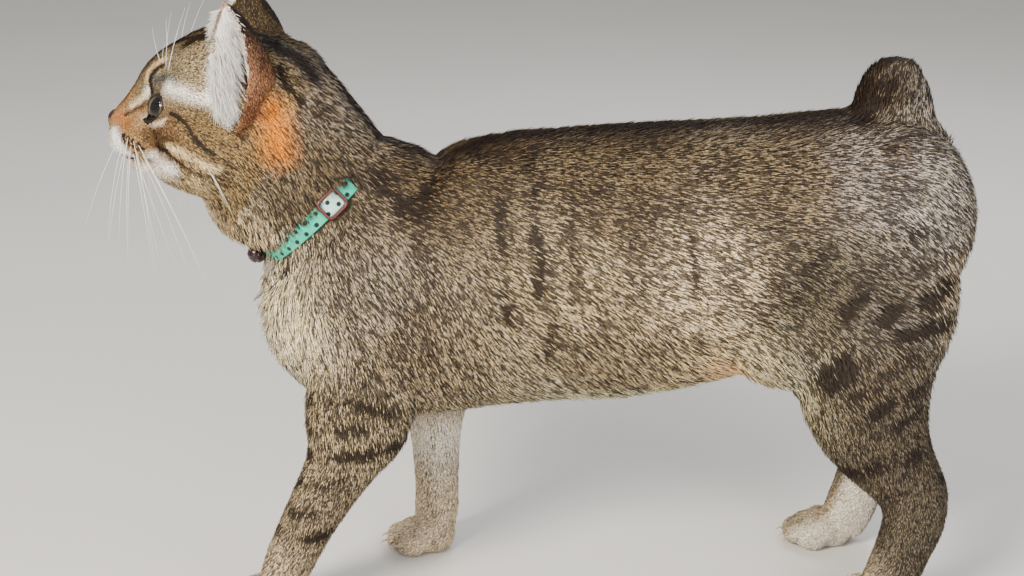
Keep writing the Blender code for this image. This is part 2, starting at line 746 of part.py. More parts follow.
def box(name: str, centre, size, group) -> bpy.types.Object:
    """A box from a cube primitive."""
    edit = bmesh.new()
    bmesh.ops.create_cube(edit, size=1.0)
    bmesh.ops.scale(edit, vec=Vector(size), verts=edit.verts)
    bmesh.ops.translate(edit, vec=Vector(centre), verts=edit.verts)
    return add_object(name, edit, group)


def bell(group) -> bpy.types.Object:
    """A small round bell."""
    return sphere("bell", BELL_CENTRE, BELL_RADIUS, group)


def main() -> None:
    """Build every piece of the cat."""
    clear_scene()
    cat = collection("cat")
    cutters = collection("cutters")
    fur = material("fur", (0.16, 0.12, 0.08), 0.8)
    pale = material("pale_fur", (0.42, 0.34, 0.26), 0.8)
    iris = material("eye", (0.20, 0.19, 0.08), 0.1)
    webbing = material("webbing", (0.10, 0.55, 0.40), 0.7)
    metal = material("metal", (0.35, 0.10, 0.06), 0.35, 1.0)

    neck_piece = neck_form(cutters)
    skull = skull_forms(cutters)
    trunk = trunk_forms(cutters)
    legs, feet = [], {}
    for side in (1, -1):
        fore = loft("fore", limb_sections(FORE_X[side], fore_rows(side)), cutters, sides=20)
        hind = loft("hind", limb_sections(HIND_X[side], hind_rows(side)), cutters, sides=20)
        legs += [fore, hind]
        feet["fore", side] = [fore] + foot_forms(FORE_X[side], FORE_PAW_Y[side], 0.0, cutters)
        feet["hind", side] = [hind] + foot_forms(HIND_X[side], HIND_PAW_Y[side], 0.003, cutters)

    trunk += [neck_piece, stump_form(cutters)]
    body = fuse("torso", trunk + skull + legs, BODY_VOXEL, 22, BODY_TRIANGLES, cat)
    mask = fuse("mask", skull + [neck_piece], FINE_VOXEL, 24, 0, cutters)
    head = fuse("head", [mask] + face_forms(cutters), FINE_VOXEL, 10, HEAD_TRIANGLES, cat)

    spare = part_off(body, "spare", [HEAD_CUT], cat, cutters)
    bpy.data.objects.remove(spare, do_unlink=True)
    keep = cell([HEAD_CUT], -GAP / 2, cutters)
    boolean(head, keep, "INTERSECT")
    keep_largest(head)

    collar_up = Vector((0.0, -math.sin(COLLAR_SLOPE), math.cos(COLLAR_SLOPE)))
    below_collar = COLLAR_CENTRE - collar_up * NECK_BELOW_COLLAR
    neck = part_off(body, "neck", [(below_collar, -collar_up), CHEST_FLOOR], cat, cutters)
    stump = part_off(body, "tail_stump", STUMP_CUTS, cat, cutters)
    pieces = [head, neck, stump]

    for side, word in ((1, "left"), (-1, "right")):
        inner_wall = ((MIDLINE_CLEARANCE * side, 0, 0), (-side, 0, 0))
        front, back = FORE_SPAN[side]
        walls = [inner_wall, ((0, front, 0.12), (0, -1, 0)), ((0, back, 0.12), (0, 1, 0))]
        leg_top = ((0.035 * side, (front + back) / 2, 0.123), (-0.42 * side, 0.10, 1.0))
        leg = part_off(body, f"foreleg_{word}", [leg_top] + walls, cat, cutters)
        thigh_top = ((0.045 * side, 0.185, 0.190), (-0.9 * side, -0.10, 1.0))
        thigh = part_off(body, f"thigh_{word}", [thigh_top, inner_wall, FLANK_CUT], cat, cutters)
        shank = part_off(thigh, f"shank_{word}", [KNEE_CUT], cat, cutters)
        pieces += [leg, thigh, shank]
        wrist = ((0, fore_rows(side)[5][0], fore_rows(side)[5][1]), (0, 0.45 if side == 1 else 0.0, 0.89))
        for kind, limb, cut in (("fore", leg, wrist), ("hind", shank, HOCK_CUT)):
            spare = part_off(limb, "spare", [cut], cat, cutters)
            bpy.data.objects.remove(spare, do_unlink=True)
            foot = fuse(f"{kind}paw_{word}", feet[kind, side], FINE_VOXEL, 2, PAW_TRIANGLES[kind], cat)
            keep = cell([cut, ABOVE_FLOOR], -GAP / 2, cutters)
            boolean(foot, keep, "INTERSECT")
            keep_largest(foot)
            pieces.append(foot)

    skin_of_head = grown(head, GAP, cutters)
    for side, word in ((1, "left"), (-1, "right")):
        made = ear(side, cat)
        boolean(made, skin_of_head, "DIFFERENCE")
        keep_largest(made)
        pieces.append(made)
        cup = head_mass("cup", mirrored(EAR_CUP, side), EAR_CUP_RADII, cutters)
        for cutter in [cup] + eye_cutters(side, cutters):
            boolean(head, cutter, "DIFFERENCE")
        ball = sphere(f"eye_{word}", from_head(mirrored(EYE_CENTRE, side)), EYE_RADIUS, cat)
        ball.data.materials.append(iris)
    for cutter in mouth_cutters(head, cutters) + nostril_cutters(cutters):
        boolean(head, cutter, "DIFFERENCE")
    keep_largest(head)

    bed = band("bed", -GAP, COLLAR_THICKNESS + COLLAR_FUR, COLLAR_WIDTH + 2 * GAP, cutters)
    boolean(neck, bed, "DIFFERENCE")
    boolean(neck, sphere("bell_pocket", BELL_CENTRE, BELL_RADIUS + GAP, cutters), "DIFFERENCE")
    boolean(neck, slider_pocket(cutters), "DIFFERENCE")
    keep_largest(neck)
    ring = band("collar", 0.0, COLLAR_THICKNESS, COLLAR_WIDTH, cat)
    ring.data.materials.append(webbing)
    clasp = slider(cat)
    clasp.data.materials.append(metal)
    jingle = bell(cat)
    jingle.data.materials.append(metal)

    for piece in pieces + [body]:
        piece.data.materials.clear()
        piece.data.materials.append(pale if "paw" in piece.name else fur)
    for thing in list(cutters.objects):
        bpy.data.objects.remove(thing, do_unlink=True)


main()
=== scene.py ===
"""A short-tailed tabby cat, standing with its head raised, dressed for a museum case.

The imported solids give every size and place. One skin lies inside them, and a short ticked coat of
flat tufts grows from that skin, laid along the body. Eyes, nose, lips, whiskers, claws and the collar
with its slider and bell are pieces of their own. Units are metres, the cat faces -Y and its left is +X.
"""

import logging
from dataclasses import dataclass, field
from enum import Enum
from math import copysign, cos, exp, hypot, pi, radians, sin, sqrt, tan, tau

import bmesh
import bpy
import numpy as np
from bmesh.types import BMesh, BMVert
from bpy.types import Material, Mesh, Node, NodeSocket, NodeTree, Object
from mathutils import Matrix, Vector
from mathutils.bvhtree import BVHTree
from numpy import ndarray


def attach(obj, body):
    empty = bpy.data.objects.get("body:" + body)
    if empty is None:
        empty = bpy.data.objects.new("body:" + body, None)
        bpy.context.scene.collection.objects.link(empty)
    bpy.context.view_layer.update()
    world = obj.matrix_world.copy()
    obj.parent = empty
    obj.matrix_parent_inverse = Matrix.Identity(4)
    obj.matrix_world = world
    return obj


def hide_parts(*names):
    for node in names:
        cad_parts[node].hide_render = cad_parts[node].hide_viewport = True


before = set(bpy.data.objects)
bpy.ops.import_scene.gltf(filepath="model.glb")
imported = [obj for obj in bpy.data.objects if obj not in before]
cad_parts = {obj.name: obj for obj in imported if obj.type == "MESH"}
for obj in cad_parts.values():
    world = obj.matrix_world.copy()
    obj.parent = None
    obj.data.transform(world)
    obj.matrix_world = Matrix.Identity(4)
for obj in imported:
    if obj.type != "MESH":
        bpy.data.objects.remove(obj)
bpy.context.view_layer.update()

BODY = "root"
SEED = 11
MM = 0.001
LOG = logging.getLogger("cat")

# The head's place and how far the nose is raised, the eyes and lids in the head, and the bell's place
HEAD_ORIGIN = Vector((0.0, -0.165, 0.285))
HEAD_PITCH = radians(15)
EYE_CENTRE = Vector((0.0171, 0.0462, 0.005))
EYE_RADIUS = 0.0108
EYE_OUTWARD = radians(33)
LID_TURN = radians(9)
LID_WIDTH = 0.015
LID_RISE = 0.007
LID_DROP = 0.0066
LID_SLANT = radians(7)
LID_RADIUS = 0.0113
BELL_CENTRE = Vector((0.0, -0.1658, 0.2114))


class Side(Enum):
    """The cat's own left and right, with the sign of X on that side."""

    LEFT = 1
    RIGHT = -1

    @property
    def word(self) -> str:
        """The side's name as piece names use it."""
        return self.name.lower()


class Area(Enum):
    """A stretch of coat that becomes one piece."""

    HEAD_LEFT = 0
    HEAD_RIGHT = 1
    EAR_BACKS = 2
    EAR_LININGS = 3
    NECK_LEFT = 4
    NECK_RIGHT = 5
    CHEST_LEFT = 6
    CHEST_RIGHT = 7
    FLANK_LEFT = 8
    FLANK_RIGHT = 9
    RUMP_LEFT = 10
    RUMP_RIGHT = 11
    STUMP = 12
    FORELEG_LEFT = 13
    FORELEG_RIGHT = 14
    HINDLEG_LEFT = 15
    HINDLEG_RIGHT = 16
    PAWS_LEFT = 17
    PAWS_RIGHT = 18


def linear(hex_colour: str, share: float = 1.0) -> tuple[float, float, float, float]:
    """Turn an sRGB hex colour into linear light.

    Args:
        hex_colour: the colour as "#RRGGBB".
        share: how much of its light is kept.

    Returns:
        The linear red, green, blue and a full alpha.
    """
    channels = [int(hex_colour[i : i + 2], 16) / 255 for i in (1, 3, 5)]
    light = [c / 12.92 if c <= 0.04045 else ((c + 0.055) / 1.055) ** 2.4 for c in channels]
    return (light[0] * share, light[1] * share, light[2] * share, 1.0)


def rgb(hex_colour: str) -> ndarray:
    """The linear red, green and blue of an sRGB hex colour."""
    return np.array(linear(hex_colour)[:3])


def live(sockets: bpy.types.bpy_prop_collection, key: int | str | None = None) -> NodeSocket:
    """A node's socket by number, or its first one in use, of that name where one is given."""
    if isinstance(key, int):
        return sockets[key]
    return next(socket for socket in sockets if socket.enabled and key in (None, socket.name))


def feed(tree: NodeTree, node: Node, inputs: dict) -> None:
    """Set or link a node's inputs.

    Args:
        tree: the node tree.
        node: the node.
        inputs: by name or number a value, a socket, or a node for its first output in use.
    """
    for key, value in inputs.items():
        if isinstance(value, Node):
            value = live(value.outputs)
        if isinstance(value, NodeSocket):
            tree.links.new(value, live(node.inputs, key))
        else:
            live(node.inputs, key).default_value = value


def add(tree: NodeTree, kind: str, inputs: dict | None = None, **settings) -> Node:
    """Add a node with its settings, and set or link its inputs.

    Args:
        tree: the node tree.
        kind: the node's type, where "ShaderNode" may be left off.
        inputs: what goes into it, as for feed.
        settings: the node's own properties.

    Returns:
        The new node.
    """
    made = tree.nodes.new(kind if "Node" in kind else f"ShaderNode{kind}")
    for name, value in settings.items():
        setattr(made, name, value)
    feed(tree, made, inputs or {})
    return made


def clouded(tree: NodeTree, scale: float, low: tuple, high: tuple, detail: float = 2.0) -> tuple:
    """Two colours in soft clouds over the object.

    Args:
        tree: the material's tree.
        scale: clouds in a metre.
        low: the linear colour of the dull places.
        high: the linear colour of the rest.
        detail: how finely the clouds break up.

    Returns:
        The noise, and the node that mixes the colours by it.
    """
    place = add(tree, "TexCoord").outputs["Object"]
    cloud = add(tree, "TexNoise", {"Vector": place, "Scale": scale, "Detail": detail})
    return cloud, add(tree, "Mix", {"Factor": cloud, "A": low, "B": high}, data_type="RGBA")


def blank_material(name: str) -> tuple[Material, NodeTree, Node]:
    """A node material with only its shader and output.

    Args:
        name: the finish's name.

    Returns:
        The material, its tree and its Principled shader.
    """
    made = bpy.data.materials.new(name)
    made.use_nodes = True
    tree = made.node_tree
    return made, tree, tree.nodes["Principled BSDF"]


def add_mesh(name: str, edit: BMesh, smooth: bool = True) -> Object:
    """Make a scene object from an edit mesh, with its faces outward.

    Args:
        name: the object's name.
        edit: the edit mesh, freed here.
        smooth: whether its faces are shaded smooth.

    Returns:
        The object, at the origin.
    """
    bmesh.ops.remove_doubles(edit, verts=edit.verts, dist=0.000001)
    bmesh.ops.recalc_face_normals(edit, faces=edit.faces)
    for face in edit.faces:
        face.smooth = smooth
    mesh = bpy.data.meshes.new(name)
    edit.to_mesh(mesh)
    edit.free()
    made = bpy.data.objects.new(name, mesh)
    bpy.context.scene.collection.objects.link(made)
    return made


def settle(thing: Object) -> None:
    """Turn an object's modifiers into its plain mesh."""
    graph = bpy.context.evaluated_depsgraph_get()
    graph.update()
    mesh = bpy.data.meshes.new_from_object(thing.evaluated_get(graph))
    thing.modifiers.clear()
    thing.data = mesh


def join(name: str, things: tuple[Object, ...]) -> Object:
    """Join objects into a new one, and remove them."""
    edit = bmesh.new()
    for thing in things:
        edit.from_mesh(thing.data)
        bpy.data.objects.remove(thing)
    return add_mesh(name, edit)


def read(rows: bpy.types.bpy_prop_collection, name: str, width: int = 1, kind: type = float) -> ndarray:
    """One property of every element of a mesh.

    Args:
        rows: the elements.
        name: the property's name.
        width: how many numbers it has.
        kind: the numbers' type.

    Returns:
        One value or row an element.
    """
    values = np.empty(len(rows) * width, kind)
    rows.foreach_get(name, values)
    return values.reshape(-1, width) if width > 1 else values


def dress(thing: Object, finish: Material) -> Object:
    """Give a piece its one finish and the body it rides on.

    Args:
        thing: the piece.
        finish: its material.

    Returns:
        The same piece.
    """
    thing.data.materials.clear()
    thing.data.materials.append(finish)
    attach(thing, BODY)
    LOG.info("%s: %d faces", thing.name, len(thing.data.polygons))
    return thing


def from_head(point: Vector | tuple) -> Vector:
    """World place of a point given as (left, forward, up) in the head's own frame."""
    left, forward, up = point
    cosine, sine = cos(HEAD_PITCH), sin(HEAD_PITCH)
    return HEAD_ORIGIN + Vector((left, -(forward * cosine - up * sine), forward * sine + up * cosine))


def head_axes() -> Matrix:
    """Rotation that takes the head's own (left, forward, up) to the world."""
    cosine, sine = cos(HEAD_PITCH), sin(HEAD_PITCH)
    return Matrix(((1.0, 0.0, 0.0), (0.0, -cosine, sine), (0.0, sine, cosine))).to_4x4()


def eye_frame(side: Side, turn: float = 0.0) -> Matrix:
    """An eye's own frame in the world, Y looking out of it.

    Args:
        side: which eye.
        turn: how much further outward than the eye it looks.

    Returns:
        The frame.
    """
    centre = from_head((EYE_CENTRE.x * side.value, EYE_CENTRE.y, EYE_CENTRE.z))
    outward = -(EYE_OUTWARD + turn) * side.value
    return Matrix.Translation(centre) @ head_axes() @ Matrix.Rotation(outward, 4, "Z")


def between_lids(points: ndarray, side: Side) -> tuple[ndarray, ndarray]:
    """How far inside the almond between one eye's lids each place lies.

    Args:
        points: world places.
        side: which eye.

    Returns:
        A value above zero inside the almond, and the distance from the eye's centre.
    """
    inverse = np.array(eye_frame(side, LID_TURN).inverted())
    local = points @ inverse[:3, :3].T + inverse[:3, 3]
    reach = np.linalg.norm(local, axis=1) + 1e-9
    laid = local * (LID_RADIUS / reach)[:, None]
    across = laid[:, 0] * side.value / (LID_WIDTH * 0.48)
    height = laid[:, 2] / 1.05 - across * tan(LID_SLANT) * LID_WIDTH / 2
    bow = np.clip(1 - across**2, 0, 1) ** 0.625
    inside = bow - np.where(height > 0, height / LID_RISE, -height / LID_DROP)
    return np.where((local[:, 1] > 0.002) & (np.abs(across) < 1), inside, -1.0), reach


def to_head(points: ndarray) -> ndarray:
    """Places in the head's frame, in millimetres, with left and right folded together.

    Args:
        points: world places, one row each.

    Returns:
        Rows of (distance from the midline, forward, up).
    """
    rest = points - np.array(HEAD_ORIGIN)
    cosine, sine = cos(HEAD_PITCH), sin(HEAD_PITCH)
    forward = -rest[:, 1] * cosine + rest[:, 2] * sine
    up = rest[:, 1] * sine + rest[:, 2] * cosine
    return np.column_stack((np.abs(rest[:, 0]), forward, up)) / MM


def value_noise(points: ndarray, size: float, seed: int = 0) -> ndarray:
    """Smooth noise between 0 and 1 over space.

    Args:
        points: places, one row each.
        size: the size of one blotch, in the places' own units.
        seed: a number that picks the pattern.

    Returns:
        One value a place.
    """
    scaled = points / size
    base = np.floor(scaled).astype(np.int64)
    part = scaled - base
    part = part * part * (3 - 2 * part)
    total = np.zeros(len(points))
    for corner in range(8):
        step = np.array([corner & 1, corner >> 1 & 1, corner >> 2 & 1])
        key = (base + step) @ np.array([73856093, 19349663, 83492791]) + seed * 2654435761
        key = (key ^ (key >> 13)) * 1274126177
        draw = ((key ^ (key >> 16)) & 0xFFFF) / 65535.0
        weight = np.prod(np.where(step == 1, part, 1 - part), axis=1)
        total += draw * weight
    return total


def line_distance(points: ndarray, line: ndarray) -> ndarray:
    """Distance of each place from a line of points.

    Args:
        points: places, one row each.
        line: the line's corners, one or more rows.

    Returns:
        One distance a place.
    """
    best = np.linalg.norm(points - line[0], axis=1)
    for start, end in zip(line[:-1], line[1:]):
        run = end - start
        share = np.clip(((points - start) @ run) / max(run @ run, 1e-9), 0, 1)
        best = np.minimum(best, np.linalg.norm(points - start - share[:, None] * run, axis=1))
    return best


def blend_guides(
    points: ndarray, places: ndarray, values: ndarray, power: float = 4.0
) -> ndarray:
    """Values at each place, mixed from guides by how near they are.

    Args:
        points: places, one row each.
        places: the guides' places.
        values: the guides' values, one row each.
        power: how sharply the nearest guide wins.

    Returns:
        One row of values a place.
    """
    total = np.zeros((len(points), values.shape[1]))
    weights = np.zeros(len(points))
    for place, value in zip(places, values):
        near = 1.0 / (np.sum((points - place) ** 2, axis=1) ** (power / 2) + 1e-6)
        total += near[:, None] * value
        weights += near
    return total / weights[:, None]


@dataclass(frozen=True)
class Mark:
    """A streak or patch of the coat: its line in millimetres, half width, darkness, colour and ticking."""

    line: tuple[tuple[float, ...], ...]
    half_width: float
    dark: float = 0.0
    colour: str = ""
    tick: float = 1.0
    soft: float = 0.6


# The dark spots that the whiskers grow from, in the head's frame: from the midline, forward, up
WHISKER_SPOTS = (
    (18.1, 68, -16.5), (20.5, 65.1, -16.4), (22.5, 62.2, -16.8), (23.9, 58.3, -17.5), (24.3, 55.5, -19.1),
    (19, 67, -19.2), (21.4, 64.4, -19.3), (23.1, 61.2, -19.7), (23.8, 58.4, -20.8)
)

# Streaks and patches of the face and ears, in the same frame
FACE_MARKS = (
    Mark(((0, 78, -6), (0, 71, 4)), 6.0, colour="#A66C38", tick=0.6),
    Mark(((8, 74.5, -9), (12, 71, -10), (17, 67, -10)), 3.4, colour="#BC7C4A", tick=0.35),
    Mark(((25.5, 54, -11), (31, 49, -9), (38, 39.5, -7)), 4.2, 0.25, "#80603C", soft=0.9),
    Mark(((37, 40, -11), (41, 33.5, -10.5), (43.5, 26, -12), (44, 18, -14.5), (43, 11, -15.5)),
         2.3, 0, "#E2C898", 0.25),
    Mark(((3, 77, -23), (13, 74.5, -17), (17.2, 71.5, -20), (18, 68, -24.5), (17, 61, -28.5)),
         3.0, 0, "#FFFDF8", 0.0),
    Mark(((1, 78, -26), (8, 76, -26), (15, 71, -26)), 5.4, 0, "#FFFDF8", 0.0),
    Mark(((0, 70, -33), (9, 67, -33)), 4.5, 0, "#FFF8EE", 0.0),
    Mark(((0, 57, -38), (10, 54, -35), (20, 46, -30), (30, 40, -24)), 7.0, 0, "#F6E8DC", 0.1, 0.8),
    Mark(((22, 50, -23), (30, 43, -23), (38, 35, -21.5)), 3.0, 0, "#FFFAF4", 0.0, 0.8),
    Mark(((0, 30, -42), (14, 20, -44)), 10.0, 0, "#DDCDB2", 0.4),
    Mark(((14.6, 60.4, 11.4), (14.6, 61.4, 8.2)), 2.6, 0, "#FFF8EC", 0.0, 0.7),
    Mark(((14.6, 61.4, 8.2), (13, 64, 4), (11, 68, -1)), 1.8, 0, "#EFD9B8", 0.15, 0.9),
    Mark(((12.7, 62.6, 15.8), (11.4, 62.6, 20.5), (12.0, 60.5, 25), (14.9, 54.5, 30.6)),
         1.6, 0, "#DFBE8C", 0.1, 0.7),
    Mark(((17, 57, 17.8), (20.9, 52.3, 20.9), (26.5, 46.4, 22.4)), 3.0, 0.25, "#8A887E"),
    Mark(((26, 47.5, 18.4), (30.1, 40, 18.4), (33.1, 33.3, 18.9), (36, 24, 20)), 3.6, 0, "#FBF3E6", 0.1, 1.0),
    Mark(((23, 27, 49), (28, 22, 43), (31, 22.4, 38.7), (33.5, 22.3, 33), (35.5, 21, 26)),
         5.0, 0, "#FFFBF5", 0.05, 1.0),
    Mark(((36, 20.9, 22), (36.8, 17, 17.8), (38.4, 12.1, 14)), 4.6, 0, "#FFFEFA", 0.0, 0.6),
    Mark(((40.6, 4.4, 12.4), (41.4, 2.0, 8.4)), 3.6, 0.45, "#6A5636"),
    Mark(((17.2, 58.4, -1.4), (19.6, 58, -3.2), (26.2, 54, -3.4), (30.3, 50.1, -2.8), (33.9, 46.4, 0.4)),
         1.6, 0, "#F2DFC0", 0.1, 0.9),
    Mark(((33.9, 46.4, 0.4), (33.9, 44.8, 3.2)), 1.0, 0, "#F0DCBC", 0.1, 0.6),
    Mark(((16.4, 58, 6.4), (13.4, 61.5, 1.4), (12.6, 66, -2.5), (10.1, 70.9, -6.8)),
         0.9, 0.6, "#7A4A26", 0.6, 0.9),
    Mark(((18.4, 56.2, 9.6), (15, 58.7, 13.3), (14.3, 60.4, 16.7), (14.6, 60, 20.4), (15.6, 57.6, 25),
          (17.4, 54, 28.4), ),
         1.25, 0.95, "#4A3018", 0.6, 0.5),
    Mark(((3.5, 66.5, 20.8), (1.6, 62, 29.6), (4, 53, 39), (10.6, 43.1, 46), (11.8, 33.8, 51.3)), 1.8, 0.85),
    Mark(((14.2, 45, 42.6), (13.6, 38.3, 48.1), (12.2, 33, 51.6)), 3.0, 0.8),
    Mark(((0, 58, 34), (3, 46, 45), (5, 30, 54), (6, 14, 57), (6, -12, 55)), 1.6, 0.8),
    Mark(((13, 12, 55), (14, -4, 54), (15, -16, 50)), 1.8, 0.7),
    Mark(((32.1, 42.4, 6.6), (34.5, 38.1, 6), (36.8, 34.2, 4.6), (39.5, 30.7, 2), (41.6, 27.4, -1)),
         1.5, 1.0, soft=0.4),
    Mark(((41.6, 27.4, -1), (42.9, 23.6, -3.4), (43.7, 18.6, -5.6)), 1.8, 1.0, soft=0.4),
    Mark(((43.7, 18.6, -5.6), (43.7, 13.5, -8), (43, 8.6, -9.5), (41.8, 3.7, -10.4)), 1.5, 0.95, soft=0.5),
    Mark(((27, 48, -15.4), (36.1, 41.7, -13.6), (39.7, 36, -15), (41.6, 30.4, -17.8)),
         1.4, 0.85, "#5A3218", 0.7, 0.5),
    Mark(((41.6, 30.4, -17.8), (42.8, 24.5, -19.4), (43.1, 18.5, -20.2), (42.8, 12.7, -20.2),
          (42.8, 8.8, -16.6)), 1.6, 0.85, "#5A3218", 0.7, 0.6),
    Mark(((15.7, -1.6, 56), (16.2, -10.8, 53.7), (17.5, -18.5, 51.2), (19, -27, 46)), 4.6, 0.85, "#5C6062"),
    Mark(((8, 4, 57), (14, 4, 56)), 3.6, 0.8, "#5C6062"),
    Mark(((27, -8.5, 46.3), (31.4, -13.6, 39.8), (31.8, -19.2, 35.9), (32, -24.6, 32.6)), 3.0, 0.95),
    Mark(((41, -11, 26), (41, -15, 17), (41.6, -18, 6)), 8.4, 0, "#DA7E00", 0.15, 0.9),
    Mark(((41.5, -1, 16), (43, -5.8, 23.6), (39.9, -12.3, 27)), 1.4, 0.3, "#8A3A14", 0.1, 0.9),
    *(Mark((spot,), 1.4, 1.0, "#2A1C12", 0.0, 0.3) for spot in WHISKER_SPOTS),
    Mark(((21.8, 59.5, -23.8),), 1.2, 0.9, "#2A1C12", 0.0, 0.3),
)

# Bars, spots and lines of the body seen from the side: along the body, height
BODY_MARKS = (
    Mark(((-92, 259), (-78, 251), (-64, 256), (-52, 262)), 11, 0.7),
    Mark(((-25, 270), (-24, 241), (-21.6, 213), (-20, 192)), 4.2, 0.85),
    Mark(((-4.6, 276), (-4.7, 253), (-4.1, 232), (-3.3, 202)), 4.4, 0.95),
    Mark(((14, 262), (15.4, 231), (17.2, 206)), 3.8, 0.7),
    Mark(((3, 193), (2, 168)), 3.6, 0.75),
    Mark(((-78, 239), (-62, 222), (-57, 202), (-55, 186), (-65, 166)), 4.5, 0.5),
    Mark(((-149, 207), (-135, 220), (-118, 232)), 3.2, 0.65),
    Mark(((33, 266), (30, 240), (32.7, 209), (32, 181)), 3.6, 0.65),
    Mark(((49, 262), (48, 232), (50, 206)), 3.6, 0.6),
    Mark(((66, 206), (70, 190), (69, 176)), 4.0, 0.7),
    Mark(((75, 262), (78, 245), (80, 225), (84, 207)), 4.2, 0.75),
    Mark(((91, 256), (98, 244), (101, 224)), 4.2, 0.6),
    Mark(((103, 266),), 6, 0.6),
    Mark(((122, 268),), 6, 0.6),
    Mark(((112, 238), (108, 205)), 3.5, 0.55),
    Mark(((134, 255), (131, 217), (117, 196)), 8, 0.6),
    Mark(((152, 232), (145, 220), (138, 200)), 4.2, 0.7),
    Mark(((178, 206), (162, 192), (148, 170)), 3.8, 0.8),
    Mark(((228, 213), (210, 204), (190, 198), (174, 178), (158, 158)), 4.0, 0.85),
    Mark(((226, 190), (198, 186), (180, 175), (163, 155)), 4.2, 0.9),
    Mark(((220, 176), (192, 164), (176, 150)), 4.2, 0.85),
    Mark(((216, 156), (196, 147), (180, 132)), 3.8, 0.8),
    Mark(((214, 138), (194, 128), (182, 116)), 3.4, 0.7),
    Mark(((224, 112), (200, 108), (176, 98)), 4.0, 0.8),
    Mark(((236, 92), (218, 90), (200, 84)), 3.0, 0.6),
    Mark(((232, 251), (216, 248), (200, 240)), 4.5, 0.6),
    Mark(((240, 231), (222, 228), (204, 222)), 3.8, 0.5),
    Mark(((-138, 140), (-108, 143), (-84, 136)), 3.6, 0.6),
    Mark(((-130, 124), (-100, 127)), 3.4, 0.75),
    Mark(((-132, 106), (-110, 110), (-80, 112)), 3.4, 0.8),
    Mark(((-140, 88), (-120, 90)), 3.0, 0.6),
    Mark(((-146, 70), (-124, 72)), 3.0, 0.6),
    Mark(((-150, 55), (-120, 56)), 3.2, 0.8),
    Mark(((182, 296), (188, 304), (190, 314)), 9, 0.85, "#6E5A40"),
    Mark(((106, 157),), 9, 0.0, "#DDB081", 0.1, 0.9),
)

# Ground colour of the coat and how far it is ticked: place in millimetres, colour, ticking
FACE_GROUND = (
    ((0, 60, 28), "#8C744E", 0.95),
    ((0, 40, 48), "#7C6644", 1.0),
    ((0, 0, 58), "#6A5A40", 1.0),
    ((0, -30, 50), "#645A4A", 1.0),
    ((16, 52, 24), "#AE9C78", 0.95),
    ((26, 30, 34), "#B8A47C", 0.95),
    ((36, 10, 30), "#B8A27A", 0.7),
    ((20, 64, -14), "#C29A66", 0.6),
    ((34, 44, -10), "#8C6840", 0.9),
    ((43, 20, 2), "#8E7448", 1.0),
    ((42, 0, 5), "#94784C", 1.0),
    ((36, 25, -28), "#C6AE82", 0.7),
    ((40, 0, -25), "#927A52", 1.0),
    ((30, -25, -30), "#8E7850", 1.0),
    ((0, 20, -45), "#D2BE98", 0.6),
    ((0, 0, -56), "#C8B48C", 0.7),
)
BODY_GROUND = (
    ((0, -120, 302), "#9D8E77", 1.0),
    ((42, -130, 262), "#7A694D", 1.0),
    ((0, -178, 218), "#E8E3C1", 0.5),
    ((20, -172, 225), "#C9B187", 0.8),
    ((0, -160, 185), "#F6F6F6", 0.2),
    ((36, -140, 190), "#E8D8B4", 0.5),
    ((0, -130, 125), "#E8E3B9", 0.4),
    ((52, -100, 200), "#A8997F", 0.95),
    ((54, -75, 170), "#9F8D6D", 1.0),
    ((30, -60, 262), "#756347", 1.0),
    ((0, -40, 282), "#493722", 1.0),
    ((0, 50, 290), "#4A3A25", 1.0),
    ((0, 150, 296), "#4C3C27", 1.0),
    ((45, 40, 262), "#7F6D50", 1.0),
    ((60, 20, 215), "#BFAB84", 1.0),
    ((62, 90, 215), "#E5CEA7", 1.0),
    ((48, 130, 268), "#8C7A5D", 1.0),
    ((55, 40, 160), "#A49170", 0.9),
    ((45, 90, 150), "#C9B387", 0.7),
    ((20, 40, 125), "#E8E3BE", 0.35),
    ((20, 100, 140), "#E8E3B9", 0.3),
    ((45, 185, 275), "#A79A8C", 1.0),
    ((55, 215, 255), "#AFA697", 0.95),
    ((0, 246, 255), "#A89C8A", 0.9),
    ((0, 240, 205), "#D8C39F", 0.7),
    ((66, 155, 205), "#756C55", 1.0),
    ((66, 190, 200), "#796F5E", 1.0),
    ((45, 238, 205), "#BFAE8E", 0.9),
    ((66, 190, 150), "#70644F", 1.0),
    ((20, 170, 150), "#E8DEB4", 0.4),
    ((0, 180, 318), "#3F3527", 1.0),
    ((20, 205, 315), "#897E6C", 1.0),
    ((0, 228, 312), "#E0D4C0", 1.0),
    ((58, -110, 130), "#AC9976", 1.0),
    ((56, -130, 75), "#AE9B7A", 1.0),
    ((42, -172, 18), "#E1CAA4", 0.75),
    ((-52, -64, 100), "#C5B08B", 0.9),
    ((-38, -88, 14), "#E4CDA7", 0.35),
    ((62, 200, 110), "#665B48", 1.0),
    ((58, 220, 60), "#6D634F", 0.9),
    ((47, 180, 16), "#CFBC99", 0.6),
)

